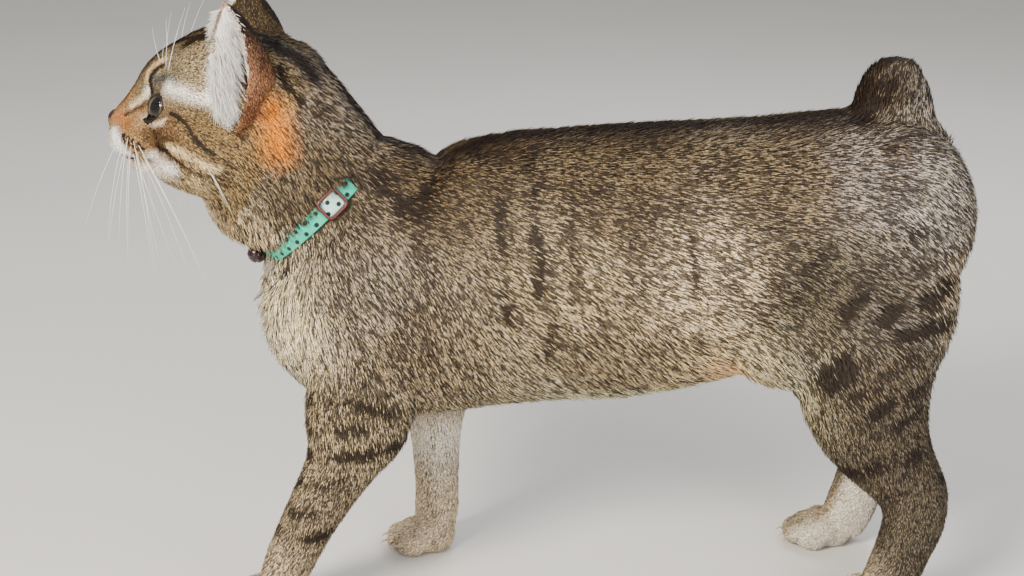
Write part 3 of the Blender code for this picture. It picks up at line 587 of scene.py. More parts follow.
# How the coat lies: place, the way the hairs point, hair length and coat depth, all in millimetres
FACE_LIE = (
    ((0, 79, -7), (0, -0.5, 0.8), 1.6, 0.5),
    ((0, 70, 3), (0.05, -0.6, 0.8), 2.2, 0.7),
    ((8, 62, 12), (0.1, -0.6, 0.8), 2.4, 0.8),
    ((0, 52, 34), (0.05, -0.7, 0.7), 4.0, 1.3),
    ((0, 30, 52), (0, -1, 0.3), 5.5, 1.8),
    ((0, 0, 58), (0, -1, -0.1), 7.0, 2.3),
    ((0, -28, 50), (0, -0.9, -0.5), 9.0, 2.8),
    ((16, 53, 20), (0.3, -0.5, 0.8), 3.0, 0.9),
    ((20, 55, 4), (0.6, -0.7, 0.2), 1.3, 0.25),
    ((30, 50, 5), (0.7, -0.7, 0.0), 1.8, 0.4),
    ((28, 52, -8), (0.6, -0.7, -0.3), 2.8, 0.9),
    ((38, 36, 6), (0.4, -0.9, 0.0), 4.0, 1.3),
    ((36, 14, 26), (0.3, -0.9, 0.1), 5.5, 1.8),
    ((44, 16, -6), (0.15, -0.95, -0.25), 6.5, 2.0),
    ((42, 28, -22), (0.3, -0.7, -0.6), 6.5, 2.0),
    ((40, -5, -18), (0.1, -0.85, -0.5), 9.0, 2.8),
    ((30, 10, -38), (0.1, -0.7, -0.7), 9.0, 2.6),
    ((16, 70, -20), (0.6, -0.6, -0.4), 2.4, 0.7),
    ((22, 58, -20), (0.5, -0.7, -0.5), 3.2, 0.9),
    ((4, 76, -24), (0.5, -0.2, -0.85), 2.0, 0.6),
    ((0, 58, -38), (0.1, -0.6, -0.8), 3.6, 1.1),
    ((16, 46, -34), (0.3, -0.6, -0.75), 5.0, 1.5),
    ((0, 28, -43), (0, -0.9, -0.4), 7.0, 2.2),
    ((0, 0, -56), (0, -0.6, -0.8), 10.0, 3.0),
    ((40, -15, 15), (0.1, -0.8, -0.6), 8.0, 2.6),
)
BODY_LIE = (
    ((0, -118, 302), (0, 0.75, -0.6), 11, 3.2),
    ((42, -135, 262), (0.05, 0.5, -0.85), 10, 3.0),
    ((34, -160, 236), (0.0, 0.35, -0.95), 10, 3.0),
    ((0, -174, 234), (0, 0.8, -0.5), 5, 4.6),
    ((0, -178, 214), (0, 0.05, -1), 12, 1.6),
    ((0, -165, 190), (0, 0.0, -1), 14, 1.4),
    ((34, -145, 185), (0.2, 0.3, -0.95), 12, 3.2),
    ((0, -130, 125), (0, 0.5, -0.9), 12, 3.0),
    ((52, -100, 205), (0.1, 0.55, -0.8), 10, 3.0),
    ((54, -70, 165), (0, 0.5, -0.85), 10, 3.0),
    ((30, -60, 262), (0.2, 0.85, -0.4), 10, 3.0),
    ((0, -45, 278), (0, 1, 0.1), 10, 2.8),
    ((0, 50, 290), (0.05, 1, 0), 10, 2.8),
    ((0, 150, 296), (0.05, 1, 0), 10, 2.8),
    ((48, 30, 262), (0.2, 0.92, -0.3), 10, 3.0),
    ((60, 20, 210), (0, 0.85, -0.5), 11, 3.0),
    ((62, 95, 215), (0, 0.93, -0.35), 11, 3.0),
    ((50, 130, 265), (0.1, 0.98, -0.15), 10, 3.0),
    ((55, 50, 160), (-0.1, 0.75, -0.65), 12, 3.2),
    ((20, 40, 125), (-0.1, 0.95, -0.3), 14, 3.2),
    ((20, 110, 142), (-0.1, 0.9, -0.3), 14, 3.2),
    ((45, 190, 275), (0.2, 0.95, -0.2), 10, 3.0),
    ((55, 225, 250), (0.1, 0.75, -0.65), 10, 3.0),
    ((0, 246, 250), (0, 0.3, -0.95), 11, 3.0),
    ((0, 238, 200), (0, 0.0, -1), 12, 3.0),
    ((66, 185, 205), (0, 0.85, -0.5), 10, 3.0),
    ((48, 238, 200), (0, 0.45, -0.9), 11, 3.0),
    ((66, 190, 150), (0, 0.55, -0.85), 9, 2.6),
    ((20, 165, 150), (0, 0.6, -0.8), 11, 2.8),
    ((0, 180, 316), (0, -0.15, 1), 8, 2.4),
    ((20, 205, 314), (0.2, 0.1, 1), 8, 2.4),
    ((0, 228, 310), (0, 0.25, 1), 9, 2.6),
    ((0, 205, 327), (0, 0.5, 0.9), 6, 2.0),
    ((58, -108, 130), (0, 0.1, -1), 8, 2.3),
    ((57, -130, 75), (0, -0.35, -1), 6, 1.8),
    ((45, -160, 35), (0, -0.5, -0.85), 5, 1.4),
    ((42, -174, 20), (0, -0.85, -0.5), 3.6, 1.0),
    ((42, -187, 8), (0, -0.9, -0.4), 2.4, 0.7),
    ((-52, -64, 100), (0, 0.05, -1), 6.5, 1.9),
    ((-50, -64, 45), (0, 0, -1), 5, 1.5),
    ((-38, -86, 16), (0, -0.85, -0.5), 3.4, 1.0),
    ((64, 195, 118), (0, 0.35, -0.95), 7, 2.1),
    ((47, 241, 80), (0, 0.1, -1), 5.5, 1.6),
    ((62, 220, 60), (0, 0, -1), 5, 1.5),
    ((47, 190, 28), (0, -0.75, -0.65), 4, 1.1),
    ((47, 172, 8), (0, -0.9, -0.4), 2.4, 0.7),
)


@dataclass
class Markings:
    """The coat's colours as functions of place, shared by the skin and the tufts."""

    dark_colour: str = "#16110D"
    blotch: float = 9.0
    grain: float = 3.2

    def ground(self, points: ndarray, in_head: ndarray, head_points: ndarray) -> ndarray:
        """Ground colour and ticking of each place, mixed from the named guides.

        Args:
            points: world places in millimetres, folded to the left side.
            in_head: which places lie on the head.
            head_points: the same places in the head's frame.

        Returns:
            Rows of linear red, green, blue and ticking.
        """
        result = np.zeros((len(points), 4))
        for mask, where, table in ((in_head, head_points, FACE_GROUND), (~in_head, points, BODY_GROUND)):
            places = np.array([row[0] for row in table], float)
            values = np.array([(*linear(row[1])[:3], row[2]) for row in table])
            if mask.any():
                result[mask] = blend_guides(where[mask], places, values)
        return result

    def paint(
        self, world: ndarray, area: Area | None, in_head: ndarray
    ) -> tuple[ndarray, ndarray]:
        """Colour of the pale part of the hairs, and how dark and how ticked they are.

        Args:
            world: places in metres.
            area: the stretch of coat, or None for the whole skin.
            in_head: which places lie on the head or ears.

        Returns:
            Rows of linear colour, and rows of (darkness, ticking).
        """
        points = world / MM
        x, y, z = points.T
        # the body's guides serve both sides, but the two forelegs stand differently
        forelegs = (z < 120) & (y < 0)
        folded = np.column_stack((np.where(forelegs, x, np.abs(x)), y, z))
        head_points = to_head(world)
        mix = self.ground(folded, in_head, head_points)
        tone, tick = mix[:, :3], mix[:, 3]
        blotch = value_noise(np.column_stack((x, y * 0.8, z * 0.5)), self.blotch, 1)
        grain = value_noise(points, self.grain, 2)
        warp = (value_noise(points, 16.0, 3) - 0.5) * 5.0
        dark = np.clip((blotch - 0.52) * 1.1, 0, 0.35) + np.clip((grain - 0.55) * 0.8, 0, 0.3)
        dark[in_head] *= 0.55
        # the dark stripe along the spine
        spine = np.clip((14 - np.abs(x)) / 8, 0, 1) * np.clip((z - 255) / 20, 0, 1)
        dark = np.where(in_head, dark, np.maximum(dark, spine * 0.8))
        # bars stay off the inside of the legs and the feet, and are softer on the flank
        side_view = np.column_stack((y + warp, z + warp * 0.5))
        plain = in_head | ((np.abs(x) < 40) & (z < 125)) | (z < 30)
        flank = np.where((y > -60) & (y < 150) & (z > 150), 0.82, 1.15)
        broken = 0.4 + 0.6 * np.clip((blotch - 0.3) * 5, 0, 1)
        for mark in BODY_MARKS:
            reach = line_distance(side_view, np.array(mark.line, float))
            spread = mark.half_width * (0.6 + 1.1 * blotch) * 2.0
            amount = np.clip((spread - reach) / spread, 0, 1) * flank
            tone, tick, dark = self.lay(tone, tick, dark, mark, np.where(plain, 0, amount) * broken)
        for mark in FACE_MARKS:
            reach = line_distance(head_points, np.array(mark.line, float))
            outer = mark.half_width * (1 + mark.soft)
            amount = np.clip((outer - reach) / (mark.half_width * mark.soft * 2), 0, 1)
            tone, tick, dark = self.lay(tone, tick, dark, mark, amount)
        # the pale inside of the legs and the belly's lowest part
        pale = np.clip((120 - z) / 30, 0, 1) * np.clip((42 - np.abs(x)) / 6, 0, 1)
        pale *= np.where(y < 40, np.clip((z - 40) / 45, 0.15, 0.9), 0.85)
        pale = np.where(in_head, 0, pale)
        tone = tone * (1 - pale[:, None]) + rgb("#E6DCCB") * pale[:, None]
        tick = tick * (1 - pale)
        dark = dark * (1 - pale)
        if area in (Area.EAR_BACKS, Area.EAR_LININGS):
            tone, tick, dark = self.ears(head_points, area, blotch)
        return tone, np.column_stack((dark, tick))

    def lay(
        self, tone: ndarray, tick: ndarray, dark: ndarray, mark: Mark, amount: ndarray
    ) -> tuple:
        """Lay one mark over the colours so far.

        Args:
            tone: linear colours.
            tick: ticking.
            dark: darkness.
            mark: the streak or patch.
            amount: how much of it each place takes.

        Returns:
            The new tone, ticking and darkness.
        """
        if mark.colour:
            share = amount[:, None]
            tone = tone * (1 - share) + rgb(mark.colour) * share
            tick = tick * (1 - amount) + mark.tick * amount
        fresh = min(1.0, mark.dark * 1.15) * amount
        dark = np.maximum(dark, fresh) if mark.dark else dark * (1 - amount)
        return tone, tick, dark

    def ears(self, head_points: ndarray, area: Area, blotch: ndarray) -> tuple:
        """Colours of an ear: rufous behind with an orange root and dark edge, pale within.

        Args:
            head_points: places in the head's frame, in millimetres.
            area: the back or the lining.
            blotch: noise for soft changes.

        Returns:
            Tone, ticking and darkness.
        """
        height = np.clip((head_points[:, 2] - 8) / 64, 0, 1)
        spots, colours = (0.0, 0.5, 1.0), ("#FBF6EE", "#F4E8DC", "#C9A48C")
        dark = np.zeros(len(height))
        tick = np.zeros(len(height))
        if area is Area.EAR_BACKS:
            spots = (0.0, 0.2, 0.45, 0.75, 1.0)
            colours = ("#8A6240", "#946040", "#C08860", "#8A6044", "#3A2C22")
            dark = np.clip((height - 0.5) * 1.3, 0, 0.6) + 0.3 * (blotch > 0.6)
            tick = np.clip(height * 0.9, 0, 0.8)
        shades = np.array([rgb(colour) for colour in colours])
        tone = np.column_stack([np.interp(height, spots, shade) for shade in shades.T])
        if area is Area.EAR_BACKS:
            inward = np.clip((38 - head_points[:, 0]) / 7, 0, 1)
            tone += (rgb("#7E6A48") - tone) * inward[:, None]
            tick = np.maximum(tick, inward * 0.9)
        return tone, tick, dark


@dataclass(frozen=True)
class CoatFinish:
    """Short hair: keratin, IOR 1.55, half rough; each tuft has a dark root, a pale band and a dark tip, and
    plain tufts carry painted shade towards the root.
    """

    name: str = "ticked_cat_hair"
    # how dark the painted shade at the tufts' roots is, where the hairs lie over one another
    root_dark: float = 0.32
    roughness: float = 0.68
    # single hairs are finer than the picture shows, so the grain within a tuft is drawn at 1 mm
    hair_grain: float = 0.001

    def build(self, dark_colour: str) -> Material:
        """Make the material, which reads the tufts' own attributes.

        Args:
            dark_colour: the colour of the dark bands.

        Returns:
            The material.
        """
        made, tree, shader = blank_material(self.name)
        tone = add(tree, "Attribute", attribute_name="tone").outputs["Color"]
        marks = add(tree, "Attribute", attribute_name="marks").outputs["Vector"]
        along = add(tree, "Attribute", attribute_name="along").outputs["Fac"]
        parts = add(tree, "SeparateXYZ", {"Vector": marks}).outputs
        shifted = add(tree, "Math", {0: parts["Z"], 1: 0.34, 2: along}, operation="MULTIPLY_ADD")
        band = add(tree, "ValToRGB", {"Fac": shifted})
        stops = band.color_ramp.elements
        stops[0].position = 0.22
        stops[0].color = (0.0, 0.0, 0.0, 1.0)
        stops[1].position = 1.12 / 1.3
        stops[1].color = (0.95, 0.95, 0.95, 1.0)
        for spot, grey in ((0.46, 0.9), (1.0, 0.12)):
            stops.new(spot).color = (grey, grey, grey, 1.0)
        clear = add(tree, "Math", {0: 1.0, 1: parts["X"]}, operation="SUBTRACT", use_clamp=True)
        lit = add(tree, "Math", {0: band, 1: clear}, operation="MULTIPLY")
        shades = {"Factor": parts["Z"], "A": linear(dark_colour), "B": linear("#2A1C11")}
        dark = add(tree, "Mix", shades, data_type="RGBA")
        ticked = add(tree, "Mix", {"Factor": lit, "A": dark, "B": tone}, data_type="RGBA")
        # painted shade: the plain tufts darken towards the root, where the hairs lie over one another
        rise = {"Value": along, "From Max": 0.45, "To Min": self.root_dark * 2, "To Max": 1.0}
        shade = add(tree, "MapRange", rise)
        plain = add(tree, "Mix", {"Factor": parts["X"], "A": tone, "B": dark}, data_type="RGBA")
        plain = add(tree, "VectorMath", {0: plain, "Scale": shade}, operation="SCALE")
        whole = add(tree, "Mix", {"Factor": parts["Y"], "A": plain, "B": ticked}, data_type="RGBA")
        place = add(tree, "TexCoord").outputs["Object"]
        grain = add(tree, "TexNoise", {"Vector": place, "Scale": 1 / self.hair_grain, "Detail": 1.0})
        spread = {"Value": grain, "From Min": 0.32, "From Max": 0.68, "To Min": 0.5, "To Max": 1.5}
        speck = add(tree, "MapRange", spread)
        whole = add(tree, "VectorMath", {0: whole, "Scale": speck}, operation="SCALE")
        gloss = {"Roughness": self.roughness, "IOR": 1.55, "Specular IOR Level": 0.2}
        feed(tree, shader, {"Base Color": whole, **gloss})
        return made


@dataclass(frozen=True)
class SkinFinish:
    """The undercoat over the skin: soft, matt and darker than the tufts as painted shade under the coat, with
    fine grain of single hairs.
    """

    name: str = "cat_undercoat"
    hair_grain: float = 0.0009
    bump_depth: float = 0.0004

    def build(self, dark_colour: str) -> Material:
        """Make the material from the skin's own marking attributes.

        Args:
            dark_colour: the colour of the dark bands.

        Returns:
            The material.
        """
        made, tree, shader = blank_material(self.name)
        tone = add(tree, "Attribute", attribute_name="tone").outputs["Color"]
        marks = add(tree, "Attribute", attribute_name="marks").outputs["Vector"]
        parts = add(tree, "SeparateXYZ", {"Vector": marks}).outputs
        place = add(tree, "TexCoord").outputs["Object"]
        grain = add(tree, "TexNoise", {"Vector": place, "Scale": 1 / self.hair_grain, "Detail": 2.0})
        spread = {"Value": grain, "From Min": 0.35, "From Max": 0.65, "To Min": 0.35, "To Max": 1.0}
        speck = add(tree, "MapRange", spread)
        # painted shade: the undercoat is drawn darker than the tufts, towards the dark colour, and darker
        # still where the coat is ticked
        veil = add(tree, "Math", {0: parts["X"], 1: 0.85, 2: 0.1}, operation="MULTIPLY_ADD", use_clamp=True)
        mixed = add(tree, "Mix", {"Factor": veil, "A": tone, "B": linear(dark_colour)}, data_type="RGBA")
        shade_under_coat = add(tree, "MapRange", {"Value": parts["Y"], "To Min": 0.9, "To Max": 0.5})
        level = add(tree, "Math", {0: speck, 1: shade_under_coat}, operation="MULTIPLY")
        final = add(tree, "VectorMath", {0: mixed, "Scale": level}, operation="SCALE")
        bump = add(tree, "Bump", {"Height": grain, "Distance": self.bump_depth, "Strength": 0.6})
        feed(tree, shader, {"Base Color": final, "Normal": bump, "Roughness": 0.8, "Specular IOR Level": 0.2})
        return made


@dataclass
class CollarPlace:
    """Where the collar lies: an oval in a plane that rises from the throat to the nape."""

    centre: Vector = field(default_factory=lambda: Vector((0.0, -0.1264, 0.2424)))
    slope: float = radians(43)
    half_depth: float = 0.042
    half_width: float = 0.04
    width: float = 0.01
    thickness: float = 0.0016
    hidden_from: float = 0.66

    def matrix(self) -> Matrix:
        """The collar's frame: X across, Y towards the nape, Z along the neck."""
        up = Vector((0.0, cos(self.slope), sin(self.slope)))
        along = Vector((1.0, 0.0, 0.0)).cross(up)
        turn = Matrix((Vector((1.0, 0.0, 0.0)), up, along)).transposed().to_4x4()
        return Matrix.Translation(self.centre) @ turn

    def measure(self, points: ndarray) -> tuple[ndarray, ndarray, ndarray]:
        """How places lie to the collar.

        Args:
            points: world places.

        Returns:
            Distance along the neck, distance outside the collar's inner line, and the sine of the
            angle towards the nape.
        """
        inverse = np.array(self.matrix().inverted())
        local = points @ inverse[:3, :3].T + inverse[:3, 3]
        radius = np.hypot(local[:, 0], local[:, 1]) + 1e-9
        cosine, sine = local[:, 0] / radius, local[:, 1] / radius
        line = 1 / np.sqrt((cosine / self.half_width) ** 2 + (sine / self.half_depth) ** 2)
        return local[:, 2], radius - line, sine


@dataclass
class Skin:
    """One closed skin under the coat, in place of every node of flesh."""

    collar: CollarPlace
    markings: Markings
    swell: float = 0.00035
    voxel: float = 0.0013
    target_faces: int = 185000
    bell_room: float = 0.0072
    short: float = 0.76
    flat: float = 0.66

    def flesh(self) -> list[str]:
        """Names of the nodes that the skin stands for."""
        starts = ("head", "neck", "torso", "tail", "ear", "fore", "hind", "thigh", "shank")
        return sorted(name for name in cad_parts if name.startswith(starts))

    def union(self) -> Object:
        """All the flesh, swollen across its thin cuts, in one mesh."""
        whole = bmesh.new()
        for name in self.flesh() + ["eye_left", "eye_right"]:
            part = bmesh.new()
            part.from_mesh(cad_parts[name].data)
            bmesh.ops.remove_doubles(part, verts=part.verts, dist=0.000002)
            part.normal_update()
            for vertex in part.verts:
                vertex.co += vertex.normal * self.swell
            mesh = bpy.data.meshes.new("part")
            part.to_mesh(mesh)
            part.free()
            whole.from_mesh(mesh)
            bpy.data.meshes.remove(mesh)
        self.fill_collar_bed(whole)
        return add_mesh("skin", whole)

    def fill_collar_bed(self, whole: BMesh) -> None:
        """Close the collar's groove in the neck with the hull of its rims."""
        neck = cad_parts["neck"].data
        places = np.array([vertex.co for vertex in neck.vertices])
        along, outside, _ = self.collar.measure(places)
        rims = (np.abs(along) > self.collar.width / 2) & (np.abs(along) < 0.0112) & (outside > -0.004)
        hull = bmesh.new()
        for place in places[rims]:
            hull.verts.new(place)
        found = bmesh.ops.convex_hull(hull, input=hull.verts)
        loose = [item for item in found["geom_interior"] if isinstance(item, BMVert)]
        bmesh.ops.delete(hull, geom=loose, context="VERTS")
        mesh = bpy.data.meshes.new("bed")
        hull.to_mesh(mesh)
        hull.free()
        whole.from_mesh(mesh)
        bpy.data.meshes.remove(mesh)

    def build(self) -> Object:
        """Make the skin with its hair, lie and marking attributes.

        Returns:
            The skin, lying inside the solids by the coat's depth.
        """
        skin = self.union()
        remesh = skin.modifiers.new("surface", "REMESH")
        remesh.mode = "VOXEL"
        remesh.voxel_size = self.voxel
        smooth = skin.modifiers.new("smooth", "SMOOTH")
        smooth.factor = 0.5
        smooth.iterations = 4
        settle(skin)
        self.thin(skin)
        self.label(skin)
        self.inset(skin)
        self.mark(skin)
        for polygon in skin.data.polygons:
            polygon.use_smooth = True
        return skin

    def thin(self, skin: Object) -> None:
        """Lower the face count, least of all on the head."""
        places = read(skin.data.vertices, "co", 3)
        fine = (to_head(places)[:, 1] > -18) & (places[:, 2] > 0.225)
        group = skin.vertex_groups.new(name="thin")
        group.add(np.nonzero(~fine)[0].tolist(), 1.0, "REPLACE")
        thin = skin.modifiers.new("thin", "DECIMATE")
        thin.ratio = min(1.0, self.target_faces / (2.0 * len(skin.data.polygons)))
        thin.vertex_group = "thin"
        thin.vertex_group_factor = 10.0
        settle(skin)
        skin.vertex_groups.clear()

    def label(self, skin: Object) -> None:
        """Say for every vertex which node of the solids lies nearest."""
        corners, faces, owners = [], [], []
        self.names = self.flesh()
        for index, name in enumerate(self.names):
            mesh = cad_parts[name].data
            base = len(corners)
            corners += [vertex.co.copy() for vertex in mesh.vertices]
            faces += [[base + i for i in polygon.vertices] for polygon in mesh.polygons]
            owners += [index] * len(mesh.polygons)
        tree = BVHTree.FromPolygons(corners, faces)
        found = [tree.find_nearest(vertex.co)[2] for vertex in skin.data.vertices]
        self.owner = np.array([owners[index] for index in found])
        self.solid = tree

    def owned(self, *starts: str) -> ndarray:
        """Which vertices belong to nodes whose names start so."""
        chosen = [index for index, name in enumerate(self.names) if name.startswith(starts)]
        return np.isin(self.owner, chosen)

    def inset(self, skin: Object) -> None:
        """Work out how the coat lies at each vertex, and draw the skin in by its depth."""
        mesh = skin.data
        places = read(mesh.vertices, "co", 3)
        self.normals = read(mesh.vertex_normals, "vector", 3)
        self.in_head = self.owned("head", "ear")
        lie, self.length, self.depth = self.lie_of(places)
        ears = self.owned("ear")
        for side in Side:
            mine = ears & (np.sign(places[:, 0]) == side.value)
            tip = np.array(from_head((0.038 * side.value, 0.0262, 0.08)))
            lie[mine] = tip - places[mine]
        self.length[ears] = 2.4
        self.depth[ears] = 0.4
        lie = lie - self.normals * np.sum(lie * self.normals, axis=1)[:, None]
        self.lie = lie / (np.linalg.norm(lie, axis=1)[:, None] + 1e-9)
        places = self.press_in(places - self.normals * (self.depth[:, None] * MM + self.swell))
        bell = np.array(BELL_CENTRE)
        away = places - bell
        gap = np.linalg.norm(away, axis=1)
        close = gap < self.bell_room
        places[close] = bell + away[close] / gap[close][:, None] * self.bell_room
        self.places = self.open_lids(places)
        mesh.vertices.foreach_set("co", self.places.ravel())
        mesh.update()
        self.trim(gap)

    def press_in(self, places: ndarray) -> ndarray:
        """Draw the neck in under the collar, and lift the throat clear of the band in front.

        Args:
            places: the skin's places.

        Returns:
            The new places.
        """
        along, outside, nape = self.collar.measure(places)
        seen = np.clip((self.collar.hidden_from + 0.1 - nape) / 0.14, 0, 1)
        bed = 0.0115 - np.abs(along)
        limit = np.maximum(-0.0007, (0.0052 - bed) * 0.9)
        extra = np.clip(outside - limit, 0, None) * seen * (bed > 0) * (outside < 0.012)
        back = places[:, 1]
        lowest = 0.2275 + 0.25 * np.clip(-0.1675 - back, 0, 0.03)
        ahead = np.clip((-0.157 - back) / 0.006, 0, 1) * np.clip((back + 0.207) / 0.014, 0, 1)
        raised = (along > 0) * ahead * np.clip(lowest - places[:, 2], 0, 0.018) * 0.95
        places[:, 2] += raised * self.owned("neck", "head")
        centre = np.array(self.collar.centre)
        axis = np.array(self.collar.matrix())[:3, 2]
        radial = places - centre - (places - centre) @ axis[:, None] * axis
        radial /= np.linalg.norm(radial, axis=1)[:, None] + 1e-9
        return places - radial * (extra * self.owned("neck", "torso", "head"))[:, None]

    def open_lids(self, places: ndarray) -> ndarray:
        """Sink the skin behind each eye between its lids, and keep it just over the eye round them.

        Args:
            places: the skin's places.

        Returns:
            The new places.
        """
        self.opening = np.zeros(len(places), bool)
        over = EYE_RADIUS + 0.0009
        for side in Side:
            inside, reach = between_lids(places, side)
            eye = np.array(eye_frame(side).translation)
            within = (inside > 0.06) & (reach < 0.019)
            around = (inside <= 0.06) & (reach < over) & (places[:, 1] < eye[1])
            level = np.where(within, EYE_RADIUS - 0.0016, np.where(around, over, reach))
            places = eye + (places - eye) * (level / reach)[:, None]
            self.opening |= within | ((inside > -0.1) & (inside <= 0.06) & (reach < 0.016))
        return places

    def trim(self, gap: ndarray) -> None:
        """Shorten, raise or leave out the hair at the collar, bell, eyes, nose and soles.

        Args:
            gap: how far each vertex was from the bell's middle.
        """
        places = self.places
        along, outside, nape = self.collar.measure(places)
        above = along > 0
        neck = self.owned("neck", "torso", "head")
        edge = np.abs(along) - self.collar.width / 2
        close = neck & (nape < self.collar.hidden_from + 0.06) & (edge < 0.012) & (outside > -0.012)
        short = np.minimum(self.length, 6.5 + np.clip(edge, 0, None) / MM * 0.6)
        length = np.where(close & above, short, self.length)
        self.ruff = np.where(close & above & (edge < 0.006), 0.55, 0.0)
        self.ruff = np.where(close & ~above & (edge < 0.01), 0.32, self.ruff)
        self.ruff = np.where(neck & ~above & (gap < 0.026), 0.55, self.ruff)
        reach = np.clip((gap - self.bell_room) / MM * 0.75, np.where(above, 1.2, 5.0), 20)
        self.length = np.where(neck & (gap < 0.024), np.minimum(length, reach), length)
        slider = close & (np.abs(along) < 0.008) & (places[:, 0] > 0.02) & (np.abs(nape - 0.33) < 0.24)
        self.bare = (close & (edge < 0.0)) | slider | (neck & (gap < self.bell_room)) | self.opening
        out, ahead, up = to_head(places).T
        self.bare |= (ahead > 74.5) & (out < 7.5) & (up < -7.0) & (up > -19.5)
        self.bare |= self.owned("forepaw", "hindpaw") & (self.normals[:, 2] < -0.8) & (places[:, 2] < 0.004)

    def lie_of(self, places: ndarray) -> tuple[ndarray, ndarray, ndarray]:
        """The way the hairs point, their length and the coat's depth at each place.

        Args:
            places: world places.

        Returns:
            Directions, lengths in millimetres and depths in millimetres.
        """
        guides, values = [], []
        turn = head_axes().to_3x3()
        for table, in_head in ((FACE_LIE, True), (BODY_LIE, False)):
            for where, way, length, depth in table:
                both = Side if where[0] > 0 else (Side.LEFT,)
                if where[1] < -55 and 0 < where[2] < 60 and not in_head:
                    both = (Side.LEFT,)
                for side in both:
                    place = Vector((where[0] * side.value, where[1], where[2]))
                    aim = Vector((way[0] * side.value, way[1], way[2])).normalized()
                    if in_head:
                        place = from_head(place * MM) / MM
                        aim = turn @ aim
                    guides.append(tuple(place))
                    values.append((*aim, length, depth))
        mixed = blend_guides(places / MM, np.array(guides), np.array(values), 5.0)
        return mixed[:, :3], mixed[:, 3] * self.short, mixed[:, 4] * self.flat

    def mark(self, skin: Object) -> None:
        """Store the attributes that the coat grows from and the colours that the skin shows."""
        mesh = skin.data
        width = 0.17 + self.length * 0.057
        lift = np.arcsin(np.clip(self.depth * 0.95 / np.maximum(self.length, 0.5), 0.05, 0.6))
        # the chest is hollow under the bell, so its tufts stand up more there
        _, back, height = self.places.T
        chest = np.exp(-(((back + 0.17) / 0.02) ** 2) - ((height - 0.192) / 0.03) ** 2)
        lift = lift + self.ruff + 0.5 * chest * self.owned("torso")
        hair = np.column_stack((self.length * MM, width * MM, lift))
        cover = np.where(self.owned("foreleg", "thigh", "shank"), 3.5, 4.4)
        thick = np.clip(cover / (self.length * width), 0.3, 3.0)
        paws = self.owned("forepaw", "hindpaw", "ear")
        thick[paws] = np.minimum(thick[paws], 1.7)
        thick = np.where(self.bare, 0.0, thick)
        tone, marks = self.markings.paint(self.places, None, self.in_head)
        tone[self.opening] = rgb("#1C130D")
        marks[self.opening] = 0.0
        for area, inner in ((Area.EAR_LININGS, True), (Area.EAR_BACKS, False)):
            chosen = self.owned("ear") & (self.ear_inside() == inner)
            tone[chosen], marks[chosen] = self.markings.paint(self.places[chosen], area, self.in_head[chosen])
        self.store(mesh, "lie", "FLOAT_VECTOR", self.lie)
        self.store(mesh, "hair", "FLOAT_VECTOR", hair)
        self.store(mesh, "thick", "FLOAT", thick)
        self.store(mesh, "tone", "FLOAT_COLOR", np.column_stack((tone, np.ones(len(tone)))))
        self.store(mesh, "marks", "FLOAT_VECTOR", np.column_stack((marks, np.full(len(tone), 0.5))))
        layer = mesh.attributes.new("area", "INT", "FACE")
        layer.data.foreach_set("value", self.areas(mesh))

    def ear_inside(self) -> ndarray:
        """Which vertices face out of the ear's opening."""
        cosine, sine = cos(HEAD_PITCH), sin(HEAD_PITCH)
        forward = -self.normals[:, 1] * cosine + self.normals[:, 2] * sine
        outward = self.normals[:, 0] * np.sign(self.places[:, 0])
        spot = to_head(self.places)
        return (forward * 0.86 + outward * 0.5 > 0.15) & (spot[:, 1] > 3.5) & (spot[:, 2] > 13)

    def areas(self, mesh: Mesh) -> ndarray:
        """The stretch of coat that each face belongs to."""
        left = self.places[:, 0] >= 0
        back = self.places[:, 1]
        torso, ears, lining = self.owned("torso"), self.owned("ear"), self.ear_inside()
        label = np.full(len(left), Area.FLANK_RIGHT.value)
        sided = {
            "CHEST": torso & (back < 0.02), "FLANK": torso & (back >= 0.02) & (back < 0.135),
            "RUMP": torso & (back >= 0.135), "NECK": self.owned("neck"), "HEAD": self.owned("head"),
            "FORELEG": self.owned("foreleg"), "HINDLEG": self.owned("thigh", "shank"),
            "PAWS": self.owned("forepaw", "hindpaw")
        }
        for name, chosen in sided.items():
            label[chosen & left] = Area[f"{name}_LEFT"].value
            label[chosen & ~left] = Area[f"{name}_RIGHT"].value
        label[self.owned("tail")] = Area.STUMP.value
        label[ears & lining] = Area.EAR_LININGS.value
        label[ears & ~lining] = Area.EAR_BACKS.value
        starts = read(mesh.polygons, "loop_start", 1, np.int32)
        corners = read(mesh.loops, "vertex_index", 1, np.int32)
        return label[corners[starts]].astype(np.int32)

    @staticmethod
    def store(mesh: Mesh, name: str, kind: str, values: ndarray) -> None:
        """Store values on a mesh's vertices.

        Args:
            mesh: the mesh.
            name: the attribute's name.
            kind: the attribute's data type.
            values: one row a vertex.
        """
        field_name = {"FLOAT": "value", "FLOAT_VECTOR": "vector", "FLOAT_COLOR": "color"}[kind]
        layer = mesh.attributes.get(name) or mesh.attributes.new(name, kind, "POINT")
        layer.data.foreach_set(field_name, np.asarray(values, np.float32).ravel())


